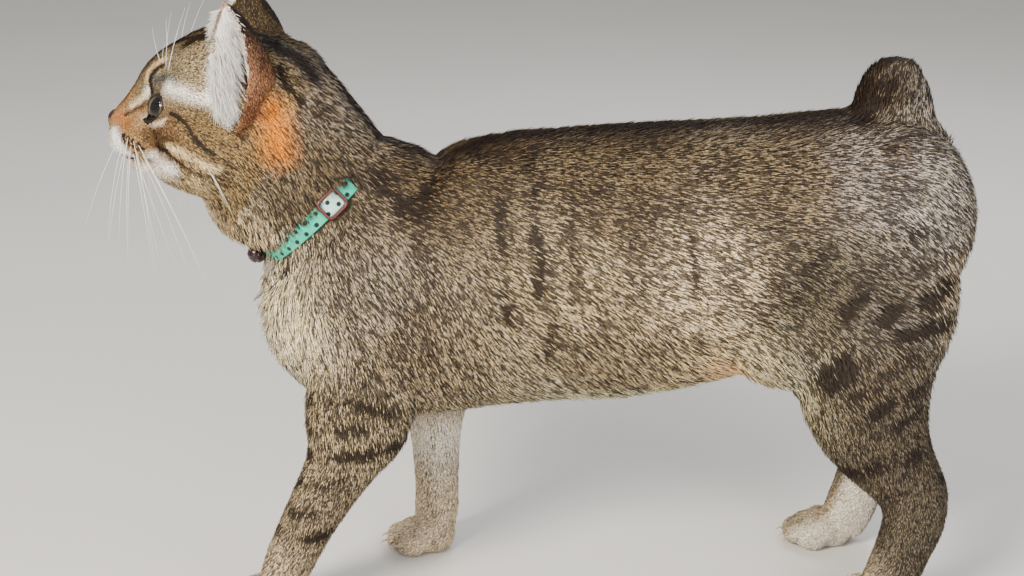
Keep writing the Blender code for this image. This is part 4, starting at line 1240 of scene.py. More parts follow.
@dataclass
class Coat:
    """Short ticked fur in flat tufts, grown from the skin by one Geometry Nodes tree."""

    markings: Markings
    density: float = 1.05e6
    disorder: float = 0.2
    patch: float = 0.003
    widest: float = 0.38
    hump: float = 0.05
    corners: int = 4

    def tuft(self) -> Object:
        """One tuft a metre long: a thin closed kite, widest a third of the way up and bent over."""
        edit = bmesh.new()
        base = edit.verts.new((0.0, 0.0, 0.0))
        left = edit.verts.new((-0.5, self.hump, self.widest))
        right = edit.verts.new((0.5, self.hump, self.widest))
        tip = edit.verts.new((0.0, -self.hump * 0.3, 1.0))
        for corners in ((base, left, right), (left, tip, right), (base, right, tip), (base, tip, left)):
            edit.faces.new(corners)
        made = add_mesh("tuft", edit, smooth=False)
        places = np.array([vertex.co for vertex in made.data.vertices])
        Skin.store(made.data, "along", "FLOAT", places[:, 2])
        Skin.store(made.data, "across", "FLOAT", places[:, 0])
        return made

    def tree(self) -> NodeTree:
        """Build the tree that plants the tufts of one area.

        Returns:
            A tree with named inputs that ends in Realize Instances and Set Material.
        """
        tree = bpy.data.node_groups.new("plant tufts", "GeometryNodeTree")
        sockets = {
            "Geometry": "Geometry", "Area": "Int", "Tufts a square metre": "Float", "Disorder": "Float",
            "Seed": "Int", "Tuft": "Object", "Finish": "Material"
        }
        for name, kind in sockets.items():
            tree.interface.new_socket(name=name, in_out="INPUT", socket_type=f"NodeSocket{kind}")
        tree.interface.new_socket(name="Geometry", in_out="OUTPUT", socket_type="NodeSocketGeometry")
        given = add(tree, "NodeGroupInput").outputs

        def stored(name: str, kind: str) -> Node:
            """The field of a named attribute."""
            return add(tree, "GeometryNodeInputNamedAttribute", {"Name": name}, data_type=kind)

        def draw(kind: str, low: float | tuple, high: float | tuple, offset: int) -> Node:
            """A random field with its own seed."""
            seed = add(tree, "Math", {0: given["Seed"], 1: offset}, operation="ADD")
            return add(
                tree, "FunctionNodeRandomValue", {"Seed": seed, "Min": low, "Max": high}, data_type=kind
            )

        mine = {"A": stored("area", "INT"), "B": given["Area"]}
        mine = add(tree, "FunctionNodeCompare", mine, data_type="INT", operation="EQUAL")
        part = {"Geometry": given["Geometry"], "Selection": mine}
        part = add(tree, "GeometryNodeSeparateGeometry", part, domain="FACE")
        density = {0: stored("thick", "FLOAT"), 1: given["Tufts a square metre"]}
        density = add(tree, "Math", density, operation="MULTIPLY")
        spread = {"Mesh": part, "Density": density, "Seed": given["Seed"]}
        spread = add(tree, "GeometryNodeDistributePointsOnFaces", spread, distribute_method="RANDOM")
        normal = spread.outputs["Normal"]
        hair = add(tree, "SeparateXYZ", {"Vector": stored("hair", "FLOAT_VECTOR")}).outputs
        stray = draw("FLOAT_VECTOR", (-1.0, -1.0, -1.0), (1.0, 1.0, 1.0), 1)
        stray = add(tree, "VectorMath", {0: stray, "Scale": given["Disorder"]}, operation="SCALE")
        way = add(tree, "VectorMath", {0: stored("lie", "FLOAT_VECTOR"), 1: stray}, operation="ADD")
        steep = add(tree, "Math", {0: hair["Z"], 1: draw("FLOAT", 0.55, 1.35, 2)}, operation="MULTIPLY")
        rise = add(tree, "VectorMath", {0: normal, "Scale": steep}, operation="SCALE")
        aim = add(tree, "VectorMath", {0: way, 1: rise}, operation="ADD")
        axes = {"Primary Axis": aim, "Secondary Axis": normal}
        turn = add(tree, "FunctionNodeAxesToRotation", axes, primary_axis="Z", secondary_axis="Y")
        long = add(tree, "Math", {0: hair["X"], 1: draw("FLOAT", 0.62, 1.12, 3)}, operation="MULTIPLY")
        wide = add(tree, "Math", {0: hair["Y"], 1: draw("FLOAT", 0.7, 1.35, 4)}, operation="MULTIPLY")
        size = add(tree, "CombineXYZ", {"X": wide, "Y": long, "Z": long})
        points = spread.outputs["Points"]
        kept = (
            ("root", "FLOAT_VECTOR", add(tree, "GeometryNodeInputPosition")),
            ("chance", "FLOAT", draw("FLOAT", 0.0, 1.0, 5))
        )
        for name, kind, value in kept:
            fields = {"Geometry": points, "Name": name, "Value": value}
            points = add(tree, "GeometryNodeStoreNamedAttribute", fields, data_type=kind)
        shape = add(tree, "GeometryNodeObjectInfo", {"Object": given["Tuft"]}).outputs["Geometry"]
        planted = {"Points": points, "Instance": shape, "Rotation": turn, "Scale": size}
        planted = add(tree, "GeometryNodeInstanceOnPoints", planted)
        real = add(tree, "GeometryNodeRealizeInstances", {"Geometry": planted})
        done = add(tree, "GeometryNodeSetMaterial", {"Geometry": real, "Material": given["Finish"]})
        add(tree, "NodeGroupOutput", {"Geometry": done})
        return tree

    def grow(self, skin: Object, finish: Material) -> list[Object]:
        """Plant every area of the coat.

        Args:
            skin: the finished skin.
            finish: the hair's material.

        Returns:
            One plain mesh piece for each area.
        """
        tree = self.tree()
        tuft = self.tuft()
        names = {item.name: item.identifier for item in tree.interface.items_tree if item.in_out == "INPUT"}
        density = self.density * 1.0
        pieces = []
        for area in Area:
            step = skin.modifiers.new("plant", "NODES")
            step.node_group = tree
            step[names["Area"]] = area.value
            step[names["Tufts a square metre"]] = density
            step[names["Disorder"]] = self.disorder
            step[names["Seed"]] = SEED + area.value
            step[names["Tuft"]] = tuft
            step[names["Finish"]] = finish
            graph = bpy.context.evaluated_depsgraph_get()
            graph.update()
            mesh = bpy.data.meshes.new_from_object(skin.evaluated_get(graph))
            skin.modifiers.remove(step)
            self.finish_area(mesh, area)
            piece = bpy.data.objects.new(f"coat_{area.name.lower()}", mesh)
            bpy.context.scene.collection.objects.link(piece)
            pieces.append(dress(piece, finish))
        bpy.data.objects.remove(tuft)
        return pieces

    def finish_area(self, mesh: Mesh, area: Area) -> None:
        """Give the tufts of one area their colours and their places on the skin's unwrap.

        Args:
            mesh: the realised tufts.
            area: the area they grow on.
        """
        count = len(mesh.vertices)
        root = read(mesh.attributes["root"].data, "vector", 3, np.float32).astype(float)
        chance, along, across = [
            read(mesh.attributes[name].data, "value", 1, np.float32) for name in ("chance", "along", "across")
        ]
        # no hair goes through the floor
        places = read(mesh.vertices, "co", 3, np.float32)
        places[:, 2] = np.maximum(places[:, 2], 0.0001)
        mesh.vertices.foreach_set("co", places.ravel())
        single = root[:: self.corners]
        in_head = np.full(len(single), area.name.startswith(("HEAD", "EAR")))
        tone, marks = self.markings.paint(single, area, in_head)
        tone, marks = self.vary(tone, marks, chance[:: self.corners].astype(float), in_head[0])
        tone = np.repeat(tone, self.corners, axis=0)
        marks = np.repeat(marks, self.corners, axis=0)
        Skin.store(mesh, "tone", "FLOAT_COLOR", np.column_stack((tone, np.ones(count))))
        Skin.store(mesh, "marks", "FLOAT_VECTOR", np.column_stack((marks, chance)))
        spots = self.unwrap(root, area)
        spots[:, 0] += across * self.patch
        spots[:, 1] += (along - 0.5) * self.patch
        corners = read(mesh.loops, "vertex_index", 1, np.int32)
        layer = mesh.uv_layers.new(name="OFBake")
        layer.uv.foreach_set("vector", spots[corners].astype(np.float32).ravel())
        for name in ("root", "chance", "across", "lie", "hair", "thick"):
            if name in mesh.attributes:
                mesh.attributes.remove(mesh.attributes[name])

    @staticmethod
    def vary(tone: ndarray, marks: ndarray, chance: ndarray, in_head: bool) -> tuple:
        """Make some tufts dark guard hairs, more of them in a bar, and shift the rest a little.

        Args:
            tone: linear colours of the tufts.
            marks: rows of (darkness, ticking).
            chance: one random number for each tuft.
            in_head: whether they grow on the head, where fewer are dark but the lines are sharper.

        Returns:
            The new colours and the new rows of (darkness, ticking).
        """
        draw = np.modf(chance * 61.7)[0]
        hue = np.modf(chance * 173.3)[0] * 2 - 1
        dark, tick = marks[:, 0], marks[:, 1]
        guards, lines = (0.26, 1.0) if in_head else (0.43, 0.6)
        guard = draw < guards * tick + lines * dark
        depth = np.where(dark > 0.6, 0.97, 0.86 + 0.1 * hue)
        marks = np.column_stack((np.where(guard, depth, 0.12 * dark), tick))
        light = 0.86 + 0.42 * np.modf(chance * 419.9)[0]
        warm = np.column_stack((1 + 0.06 * hue, np.ones(len(hue)), 1 - 0.2 * hue))
        return np.clip(tone * warm * light[:, None], 0, 0.95), marks

    @staticmethod
    def unwrap(root: ndarray, area: Area) -> ndarray:
        """Unroll the skin of one area round its own axis, as on a cylinder.

        Args:
            root: places of the tufts' roots.
            area: the area they grow on.

        Returns:
            A place on the flat map for each root, inside 0.01 to 0.99.
        """
        middle = (root.min(axis=0) + root.max(axis=0)) / 2
        x, y, z = root.T
        if area in (Area.EAR_BACKS, Area.EAR_LININGS):
            turn = np.arctan2(np.abs(x) - 0.035, y - middle[1]) / tau + 0.5
            around, height = turn * 0.48 + np.where(x >= 0, 0.01, 0.51), z
        elif area in (Area.PAWS_LEFT, Area.PAWS_RIGHT):
            hind = y >= 0.05
            centre = np.where(hind, 0.2, -0.165 if area is Area.PAWS_LEFT else -0.075)
            turn = np.arctan2(np.abs(x) - 0.042, y - centre) / tau + 0.5
            around, height = turn * 0.48 + hind * 0.5, z
        elif area.value >= Area.STUMP.value:
            around, height = np.arctan2(x - middle[0], y - middle[1]) / tau + 0.5, z
        else:
            around, height = np.arctan2(z - middle[2], np.abs(x) + 0.004) / pi + 0.5, y
        low, high = height.min(), height.max()
        flat = np.column_stack((around, (height - low) / max(high - low, 1e-6)))
        return 0.01 + 0.98 * np.clip(flat, 0, 1)


def sweep(
    name: str, lines: list[list[Vector]], radii: list[float], sides: int = 6, closed: bool = False
) -> Object:
    """Round strands along lines, each tapering as the radii say.

    Args:
        name: the object's name.
        lines: the middle of each strand.
        radii: the radius at each point, shared by all strands.
        sides: sides of a strand.
        closed: whether each line is a ring.

    Returns:
        The object.
    """
    edit = bmesh.new()
    for line in lines:
        rings = []
        count = len(line)
        guide = Vector((0.13, 0.37, 0.92))
        for index, point in enumerate(line):
            before = line[index - 1] if closed or index else point
            after = line[(index + 1) % count] if closed or index + 1 < count else point
            along = (after - before).normalized()
            across = (guide - along * guide.dot(along)).normalized()
            guide = across
            lift = along.cross(across)
            ring = []
            for step in range(sides):
                angle = tau * step / sides
                offset = (across * cos(angle) + lift * sin(angle)) * radii[index]
                ring.append(edit.verts.new(point + offset))
            rings.append(ring)
        pairs = list(zip(rings, rings[1:]))
        if closed:
            pairs.append((rings[-1], rings[0]))
        for lower, upper in pairs:
            shift = 0
            if closed and lower is rings[-1]:
                gaps = [(lower[0].co - upper[step].co).length for step in range(sides)]
                shift = gaps.index(min(gaps))
            for step in range(sides):
                after = (step + 1) % sides
                edit.faces.new(
                    (lower[step], lower[after], upper[(after + shift) % sides], upper[(step + shift) % sides])
                )
        if not closed:
            edit.faces.new(rings[0])
            edit.faces.new(rings[-1])
    return add_mesh(name, edit)


@dataclass
class Eyes:
    """Both eyes: a painted ball with its iris and pupil, a clear cornea, and dark lid rims."""

    solid: BVHTree
    cornea_lift: float = 0.0007
    lid_rim: float = 0.00065
    glance: float = radians(19)
    iris_radius: float = 0.0088
    pupil: tuple[float, float] = (0.0036, 0.0068)

    def ball(self, side: Side, radius: float, name: str, lift: float) -> Object:
        """A smooth ball whose front may bulge.

        Args:
            side: which eye.
            radius: the ball's radius.
            name: the piece's name.
            lift: how far the middle of its front stands out.

        Returns:
            The ball.
        """
        edit = bmesh.new()
        bmesh.ops.create_uvsphere(edit, u_segments=48, v_segments=32, radius=radius)
        for vertex in edit.verts:
            forward = max(0.0, vertex.co.y / radius)
            vertex.co.y += lift * max(0.0, (forward - 0.55) / 0.45) ** 1.5
        bmesh.ops.transform(edit, matrix=eye_frame(side), verts=edit.verts)
        return add_mesh(name, edit)

    def iris_finish(self, side: Side) -> Material:
        """Wet eye surface: grey-green iris with fibres, a tall dark pupil and a dark limbal ring."""
        made, tree, shader = blank_material(f"cat_iris_{side.word}")
        place = add(tree, "TexCoord").outputs["Object"]
        matrix = eye_frame(side, self.glance)
        gaze = matrix.to_3x3() @ Vector((0, 1, 0))
        up = head_axes().to_3x3() @ Vector((0, 0, 1))
        local = add(tree, "VectorMath", {0: place, 1: tuple(matrix.translation)}, operation="SUBTRACT")

        def along(axis: Vector) -> Node:
            """Distance along one axis of the eye."""
            return add(tree, "VectorMath", {0: local, 1: tuple(axis)}, operation="DOT_PRODUCT")

        flat = add(tree, "CombineXYZ", {"X": along(gaze.cross(up)), "Y": along(up)})
        reach = add(tree, "VectorMath", {0: flat}, operation="LENGTH")
        pupil = (1 / self.pupil[0], 1 / self.pupil[1], 1.0)
        slit = add(tree, "VectorMath", {0: flat, 1: pupil}, operation="MULTIPLY")
        slit = add(tree, "VectorMath", {0: slit}, operation="LENGTH")
        outside_pupil = add(tree, "MapRange", {"Value": slit, "From Min": 0.94, "From Max": 1.08})
        ray = add(tree, "VectorMath", {0: flat}, operation="NORMALIZE")
        fibres = add(tree, "TexNoise", {"Vector": ray, "Scale": 14.0, "Detail": 3.0, "Roughness": 0.6})
        share = add(tree, "Math", {0: reach, 1: 1 / self.iris_radius}, operation="MULTIPLY")
        frayed = add(tree, "Math", {0: fibres, 1: 0.35, 2: share}, operation="MULTIPLY_ADD")
        ramp = add(tree, "ValToRGB", {"Fac": frayed})
        stops = ramp.color_ramp.elements
        stops[0].position = 0.35
        stops[0].color = linear("#9A8A62")
        stops[1].position = 1.0
        stops[1].color = linear("#17110C")
        for spot, colour in ((0.6, "#8C7A52"), (0.85, "#5E4E34"), (1.0, "#1A120C")):
            stops.new(spot).color = linear(colour)
        shades = {"Factor": outside_pupil, "A": (0.002, 0.002, 0.002, 1), "B": ramp}
        mixed = add(tree, "Mix", shades, data_type="RGBA")
        feed(tree, shader, {"Base Color": mixed, "Roughness": 0.18, "IOR": 1.376})
        return made

    def cornea_finish(self) -> Material:
        """Clear wet cornea, IOR 1.376: it gives the eye its sharp highlight."""
        made, tree, shader = blank_material("clear_cornea")
        place = add(tree, "TexCoord").outputs["Object"]
        film = add(tree, "TexNoise", {"Vector": place, "Scale": 260.0})
        wet = add(tree, "MapRange", {"Value": film, "To Min": 0.0, "To Max": 0.03})
        clear = {"Base Color": (1, 1, 1, 1), "IOR": 1.376, "Transmission Weight": 1.0}
        feed(tree, shader, {"Roughness": wet, **clear})
        return made

    def rim_points(self, side: Side, steps: int = 44) -> list[Vector]:
        """The slanted almond between the lids, laid on the head where it stands above the ball."""
        frame_of_lids = eye_frame(side, LID_TURN)
        centre = frame_of_lids.translation
        points = []
        for step in range(steps):
            angle = tau * step / steps
            across = cos(angle)
            tall = LID_RISE if sin(angle) > 0 else LID_DROP
            up = copysign(abs(sin(angle)) ** 1.25, sin(angle)) * tall
            side_way = across * side.value * LID_WIDTH * 0.48
            height = (up + across * tan(LID_SLANT) * LID_WIDTH / 2) * 1.05
            ahead = sqrt(max(LID_RADIUS**2 - side_way**2 - height**2, 0.003**2))
            way = (frame_of_lids.to_3x3() @ Vector((side_way, ahead, height))).normalized()
            surface = self.solid.ray_cast(centre + way * 0.03, -way)[0]
            reach = (surface - centre).length - 0.0006 if surface else 0.0
            points.append(centre + way * min(max(LID_RADIUS, reach), 0.015))
        for _ in range(2):
            points = [(points[i - 1] + points[i] * 2 + points[(i + 1) % steps]) / 4 for i in range(steps)]
        return points

    def build(self) -> None:
        """Make both eyes in place of the plain balls."""
        cornea = self.cornea_finish()
        rim_skin = skin_finish("dark_lid_skin", "#1C1410", 0.35, 0.0006)
        for side in Side:
            ball = self.ball(side, EYE_RADIUS - 0.0002, f"eyeball_{side.word}", 0.0)
            dress(ball, self.iris_finish(side))
            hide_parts(f"eye_{side.word}")
            dress(self.ball(side, EYE_RADIUS, f"cornea_{side.word}", self.cornea_lift), cornea)
            rim = sweep(f"lid_rim_{side.word}", [self.rim_points(side)], [self.lid_rim] * 44, 8, closed=True)
            dress(rim, rim_skin)


def skin_finish(name: str, colour: str, roughness: float, pore: float) -> Material:
    """Bare skin, such as a nose, a lip or a lid rim: moist, finely pebbled, IOR 1.4.

    Args:
        name: the finish's name.
        colour: its sRGB colour.
        roughness: how matt it is.
        pore: the size of one pebble in metres.

    Returns:
        The material.
    """
    made, tree, shader = blank_material(name)
    mixed = clouded(tree, 0.3 / pore, linear(colour, 0.55), linear(colour))[1]
    place = add(tree, "TexCoord").outputs["Object"]
    cells = add(tree, "TexVoronoi", {"Vector": place, "Scale": 1 / pore})
    bump = add(tree, "Bump", {"Height": cells, "Distance": pore * 0.25, "Strength": 0.5}, invert=True)
    feed(tree, shader, {"Base Color": mixed, "Normal": bump, "Roughness": roughness, "IOR": 1.4})
    return made


@dataclass
class Muzzle:
    """The nose leather with its nostrils, and the dark line of the lips."""

    solid: BVHTree
    nose_centre: tuple[float, float, float] = (0.0, 0.076, -0.013)
    nose_radii: tuple[float, float, float] = (0.007, 0.0056, 0.006)
    lip_radius: float = 0.0008

    def nose(self) -> Object:
        """A rounded wedge with a cleft and two comma-shaped nostrils."""
        edit = bmesh.new()
        bmesh.ops.create_uvsphere(edit, u_segments=56, v_segments=40, radius=1.0)
        for vertex in edit.verts:
            x, forward, up = vertex.co
            taper = 1.0 - 0.42 * max(0.0, -up)
            x *= taper
            place = Vector((x * self.nose_radii[0], forward * self.nose_radii[1], up * self.nose_radii[2]))
            for sign in (1, -1):
                hole = Vector((sign * 0.0038 + sign * max(0.0, 0.001 + place.z) * 0.5, 0.0058, -0.0008))
                gap = (place - hole).length
                place.y -= 0.003 * exp(-((gap / 0.0015) ** 2))
            place.y -= 0.0009 * exp(-((place.x / 0.0007) ** 2)) * max(0.0, -up + 0.2)
            vertex.co = from_head(Vector(self.nose_centre) + place)
        return add_mesh("nose_leather", edit)

    def lips(self) -> Object:
        """A dark line along both sides of the mouth and up the cleft under the nose."""
        half = (
            (0.0, 0.074, -0.0285), (0.006, 0.072, -0.0312), (0.0125, 0.065, -0.0308),
            (0.018, 0.056, -0.0275)
        )
        course = [half[0]]
        for start, end in zip(half, half[1:]):
            course += [tuple(Vector(start).lerp(Vector(end), step / 5)) for step in range(1, 6)]
        laid = []
        for point in [(-x, f, u) for x, f, u in reversed(course[1:])] + course:
            found = self.solid.find_nearest(from_head(point))[0]
            laid.append(found + (from_head((0, 0.03, -0.02)) - found).normalized() * 0.0008)
        cleft = []
        for step in range(6):
            spot = from_head((0.0, 0.08 - 0.0009 * step, -0.0195 - 0.0017 * step))
            cleft.append(self.solid.find_nearest(spot)[0])
        radii = [self.lip_radius * min(1.0, 0.35 + min(i, len(laid) - 1 - i) * 0.2) for i in range(len(laid))]
        return join(
            "lips", (sweep("lip_line", [laid], radii, 8), sweep("cleft_line", [cleft], [0.0004] * 6, 6))
        )

    def build(self) -> None:
        """Make the nose leather and the lips."""
        dress(self.nose(), skin_finish("brown_nose_leather", "#2C1B15", 0.55, 0.0005))
        dress(self.lips(), skin_finish("dark_lip_skin", "#3A2019", 0.4, 0.0007))


# The front and side edges of the left ear's opening, from its root up, and where the white root tuft grows
EAR_FRONT_EDGE = (
    (0.013, 0.03, 0.035), (0.0135, 0.0312, 0.045), (0.0195, 0.0312, 0.0575), (0.029, 0.0292, 0.0675),
    (0.037, 0.0266, 0.0735)
)
EAR_SIDE_EDGE = (
    (0.043, 0.005, 0.015), (0.0475, 0.004, 0.032), (0.0475, 0.008, 0.048), (0.0455, 0.014, 0.06),
    (0.039, 0.025, 0.074)
)
EAR_ROOT_TUFT = ((0.029, 0.024, 0.04), (0.0385, 0.014, 0.02))


@dataclass
class Bristles:
    """Whiskers, brow hairs, and the long white hair inside the ears."""

    solid: BVHTree
    whisker_root: float = 0.00022
    whisker_length: float = 0.066
    brow_lengths: tuple[float, ...] = (0.026, 0.017, 0.034, 0.04)
    lining_hairs: int = 900

    def hair_finish(self, name: str, colour: str) -> Material:
        """Clear white hair, IOR 1.55, a little glossy, with faint rings along it."""
        made, tree, shader = blank_material(name)
        mixed = clouded(tree, 900.0, linear(colour, 0.8), linear(colour))[1]
        feed(tree, shader, {"Base Color": mixed, "Roughness": 0.4, "IOR": 1.55})
        return made

    def strand(self, root: Vector, way: Vector, length: float, sag: Vector, steps: int = 9) -> list[Vector]:
        """Points of a hair from its root to its tip, which sags off its first direction."""
        aim = way.normalized() * length
        return [root + aim * (i / (steps - 1)) + sag * (i / (steps - 1)) ** 2 for i in range(steps)]

    def whiskers(self, rng: np.random.Generator) -> Object:
        """Four rows from each pad, a few over each eye and two on each cheek."""
        rows = (
            ((18.0, 68.9, -16.9), (20.9, 64.6, -16.5), (23.1, 60.8, -17.0), (24.2, 57.3, -18.5)),
            ((19.2, 67.0, -19.4), (22.2, 62.0, -20.6), (23.3, 57.8, -22.6), (23.8, 54.2, -23.6)),
            ((19.5, 65.0, -22.6), (21.8, 59.5, -24.4), (22.0, 55.5, -25.5)),
            ((18.0, 62.8, -26.5), (19.5, 58.0, -27.2))
        )
        lines = []
        for side in Side:
            for row_index, row in enumerate(rows):
                for column, spot in enumerate(row):
                    root = from_head((spot[0] * MM * side.value, spot[1] * MM, spot[2] * MM))
                    fan = -0.3 + 0.26 * column + 0.1 * row_index + rng.normal(0, 0.05)
                    way = Vector((side.value * (0.62 - 0.08 * row_index), fan, -0.62 + rng.normal(0, 0.05)))
                    length = self.whisker_length * (0.72 + 0.12 * column) * rng.uniform(0.9, 1.1)
                    sag = Vector((-0.12 * side.value, rng.normal(0.02, 0.05), -0.28)) * length
                    lines.append(self.strand(root, way, length, sag))
            for index in range(4):
                root = from_head(((0.012 + 0.003 * index) * side.value, 0.056 - 0.002 * index, 0.027))
                way = Vector((0.3 * side.value, -0.22 + 0.17 * index, 1.0))
                length = self.brow_lengths[index] + 0.002 * rng.uniform(-1, 1)
                lines.append(self.strand(root, way, length, Vector((0, 0.003, -0.001))))
            for index in range(2):
                root = from_head((0.0433 * side.value, 0.0155 - 0.004 * index, -0.015 - 0.004 * index))
                way = Vector((0.55 * side.value, 0.55, -0.75))
                lines.append(self.strand(root, way, 0.024, Vector((0, 0, -0.003))))
        radii = [self.whisker_root * (1 - (i / 8) * 0.85) for i in range(9)]
        return sweep("whiskers", lines, radii, 5)

    def ear_hair(self, rng: np.random.Generator) -> Object:
        """Long soft white hair that fans from each ear's front edge over its opening."""
        inner = [Vector(p) for p in EAR_FRONT_EDGE]
        outer = [Vector(p) for p in EAR_SIDE_EDGE]
        edit = bmesh.new()
        for side in Side:
            for _ in range(self.lining_hairs):
                height = rng.uniform(0, 1) ** 0.9 * 3.9
                index = min(int(height), 3)
                margin = inner[index].lerp(inner[index + 1], height - index)
                across = outer[index].lerp(outer[index + 1], height - index) - margin
                start = rng.uniform(0, 0.55) ** 1.4
                spot = margin + across * start + Vector((0.0, -0.0015, 0.0))
                level = Vector((across.x, across.y, across.z * 0.25)).normalized()
                way = level + Vector((0.1, 0.05, 0.3 * height / 4 - 0.1)) + Vector(rng.normal(0, 0.12, 3))
                reach = across.length * (1.0 - start) * rng.uniform(0.72, 1.0)
                self.blade(edit, spot, way.normalized() * max(reach, 0.005), side, rng)
            for _ in range(260):
                height = rng.uniform(0, 1) ** 1.2 * 3.4
                index = min(int(height), 3)
                spot = inner[index].lerp(inner[index + 1], height - index) + Vector((0.0, -0.001, 0.0))
                way = Vector((0.25, 0.75 + rng.normal(0, 0.2), -0.55 + rng.normal(0, 0.2)))
                self.blade(edit, spot, way.normalized() * rng.uniform(0.003, 0.0065), side, rng)
            for _ in range(self.lining_hairs):
                share = rng.uniform(0, 1)
                spot = Vector(EAR_ROOT_TUFT[0]).lerp(Vector(EAR_ROOT_TUFT[1]), share)
                spot += Vector((0.0, rng.uniform(-0.005, 0.006), rng.uniform(-0.004, 0.006)))
                way = Vector(
                    (0.35 + rng.normal(0, 0.1), -0.5 + rng.normal(0, 0.2), -0.55 + rng.normal(0, 0.2))
                )
                self.blade(edit, spot, way.normalized() * rng.uniform(0.007, 0.013), side, rng)
        return add_mesh("ear_hair", edit, smooth=False)

    def blade(self, edit: BMesh, spot: Vector, run: Vector, side: Side, rng: np.random.Generator) -> None:
        """Add one thin three-sided hair lock in the head's frame, bent outward."""
        width = 0.00029 * rng.uniform(0.7, 1.3)
        across = run.cross(Vector((0.2, 1.0, 0.1))).normalized() * width
        lift = run.cross(across).normalized() * width * 0.6
        bend = Vector((0.1, 0.02, -0.14)) * run.length
        rings = []
        for share, size in ((0.0, 0.7), (0.45, 1.0), (0.8, 0.6)):
            middle = spot + run * share + bend * share * share
            corners = (middle - across * size, middle + across * size, middle + lift * size * 1.6)
            rings.append([edit.verts.new(from_head((c.x * side.value, c.y, c.z))) for c in corners])
        end = spot + run + bend
        tip = edit.verts.new(from_head((end.x * side.value, end.y, end.z)))
        for lower, upper in zip(rings, rings[1:]):
            for step in range(3):
                after = (step + 1) % 3
                edit.faces.new((lower[step], lower[after], upper[after], upper[step]))
        for step in range(3):
            edit.faces.new((rings[-1][step], rings[-1][(step + 1) % 3], tip))
        edit.faces.new(rings[0])

    def build(self) -> None:
        """Make the whiskers and the ears' long hair."""
        rng = np.random.default_rng(SEED)
        dress(self.whiskers(rng), self.hair_finish("white_whisker_keratin", "#F4F1EA"))
        dress(self.ear_hair(rng), self.hair_finish("white_ear_hair", "#FBF8F4"))


@dataclass
class Claws:
    """A small hooked claw at the front of every toe, mostly sunk in the hair."""

    fan: tuple = ((-0.0128, 0.007), (-0.0046, 0.014), (0.0046, 0.014), (0.0128, 0.007))
    feet: tuple = ((0.042, -0.164), (-0.038, -0.073), (0.047, 0.192), (-0.047, 0.186))
    length: float = 0.0042
    radius: float = 0.0009

    def build(self) -> None:
        """Make all the claws as one piece of horn."""
        lines = []
        bow = Vector((0, -0.0006, 0.0009))
        for x, y in self.feet:
            for across, ahead in self.fan:
                root = Vector((x + across * 1.02, y - ahead - 0.0092, 0.0072))
                tip = Vector((across * 0.08, -self.length, -0.0022))
                lines.append([root + tip * s + bow * (4 * s * (1 - s)) for s in (0, 0.25, 0.5, 0.75, 1.0)])
        piece = sweep("claws", lines, [self.radius * k for k in (1.0, 0.9, 0.7, 0.45, 0.08)], 6)
        made, tree, shader = blank_material("horn_claw")
        mixed = clouded(tree, 1200.0, linear("#6A5A4A"), linear("#CDBFA8"))[1]
        feed(tree, shader, {"Base Color": mixed, "Roughness": 0.35, "IOR": 1.55})
        dress(piece, made)


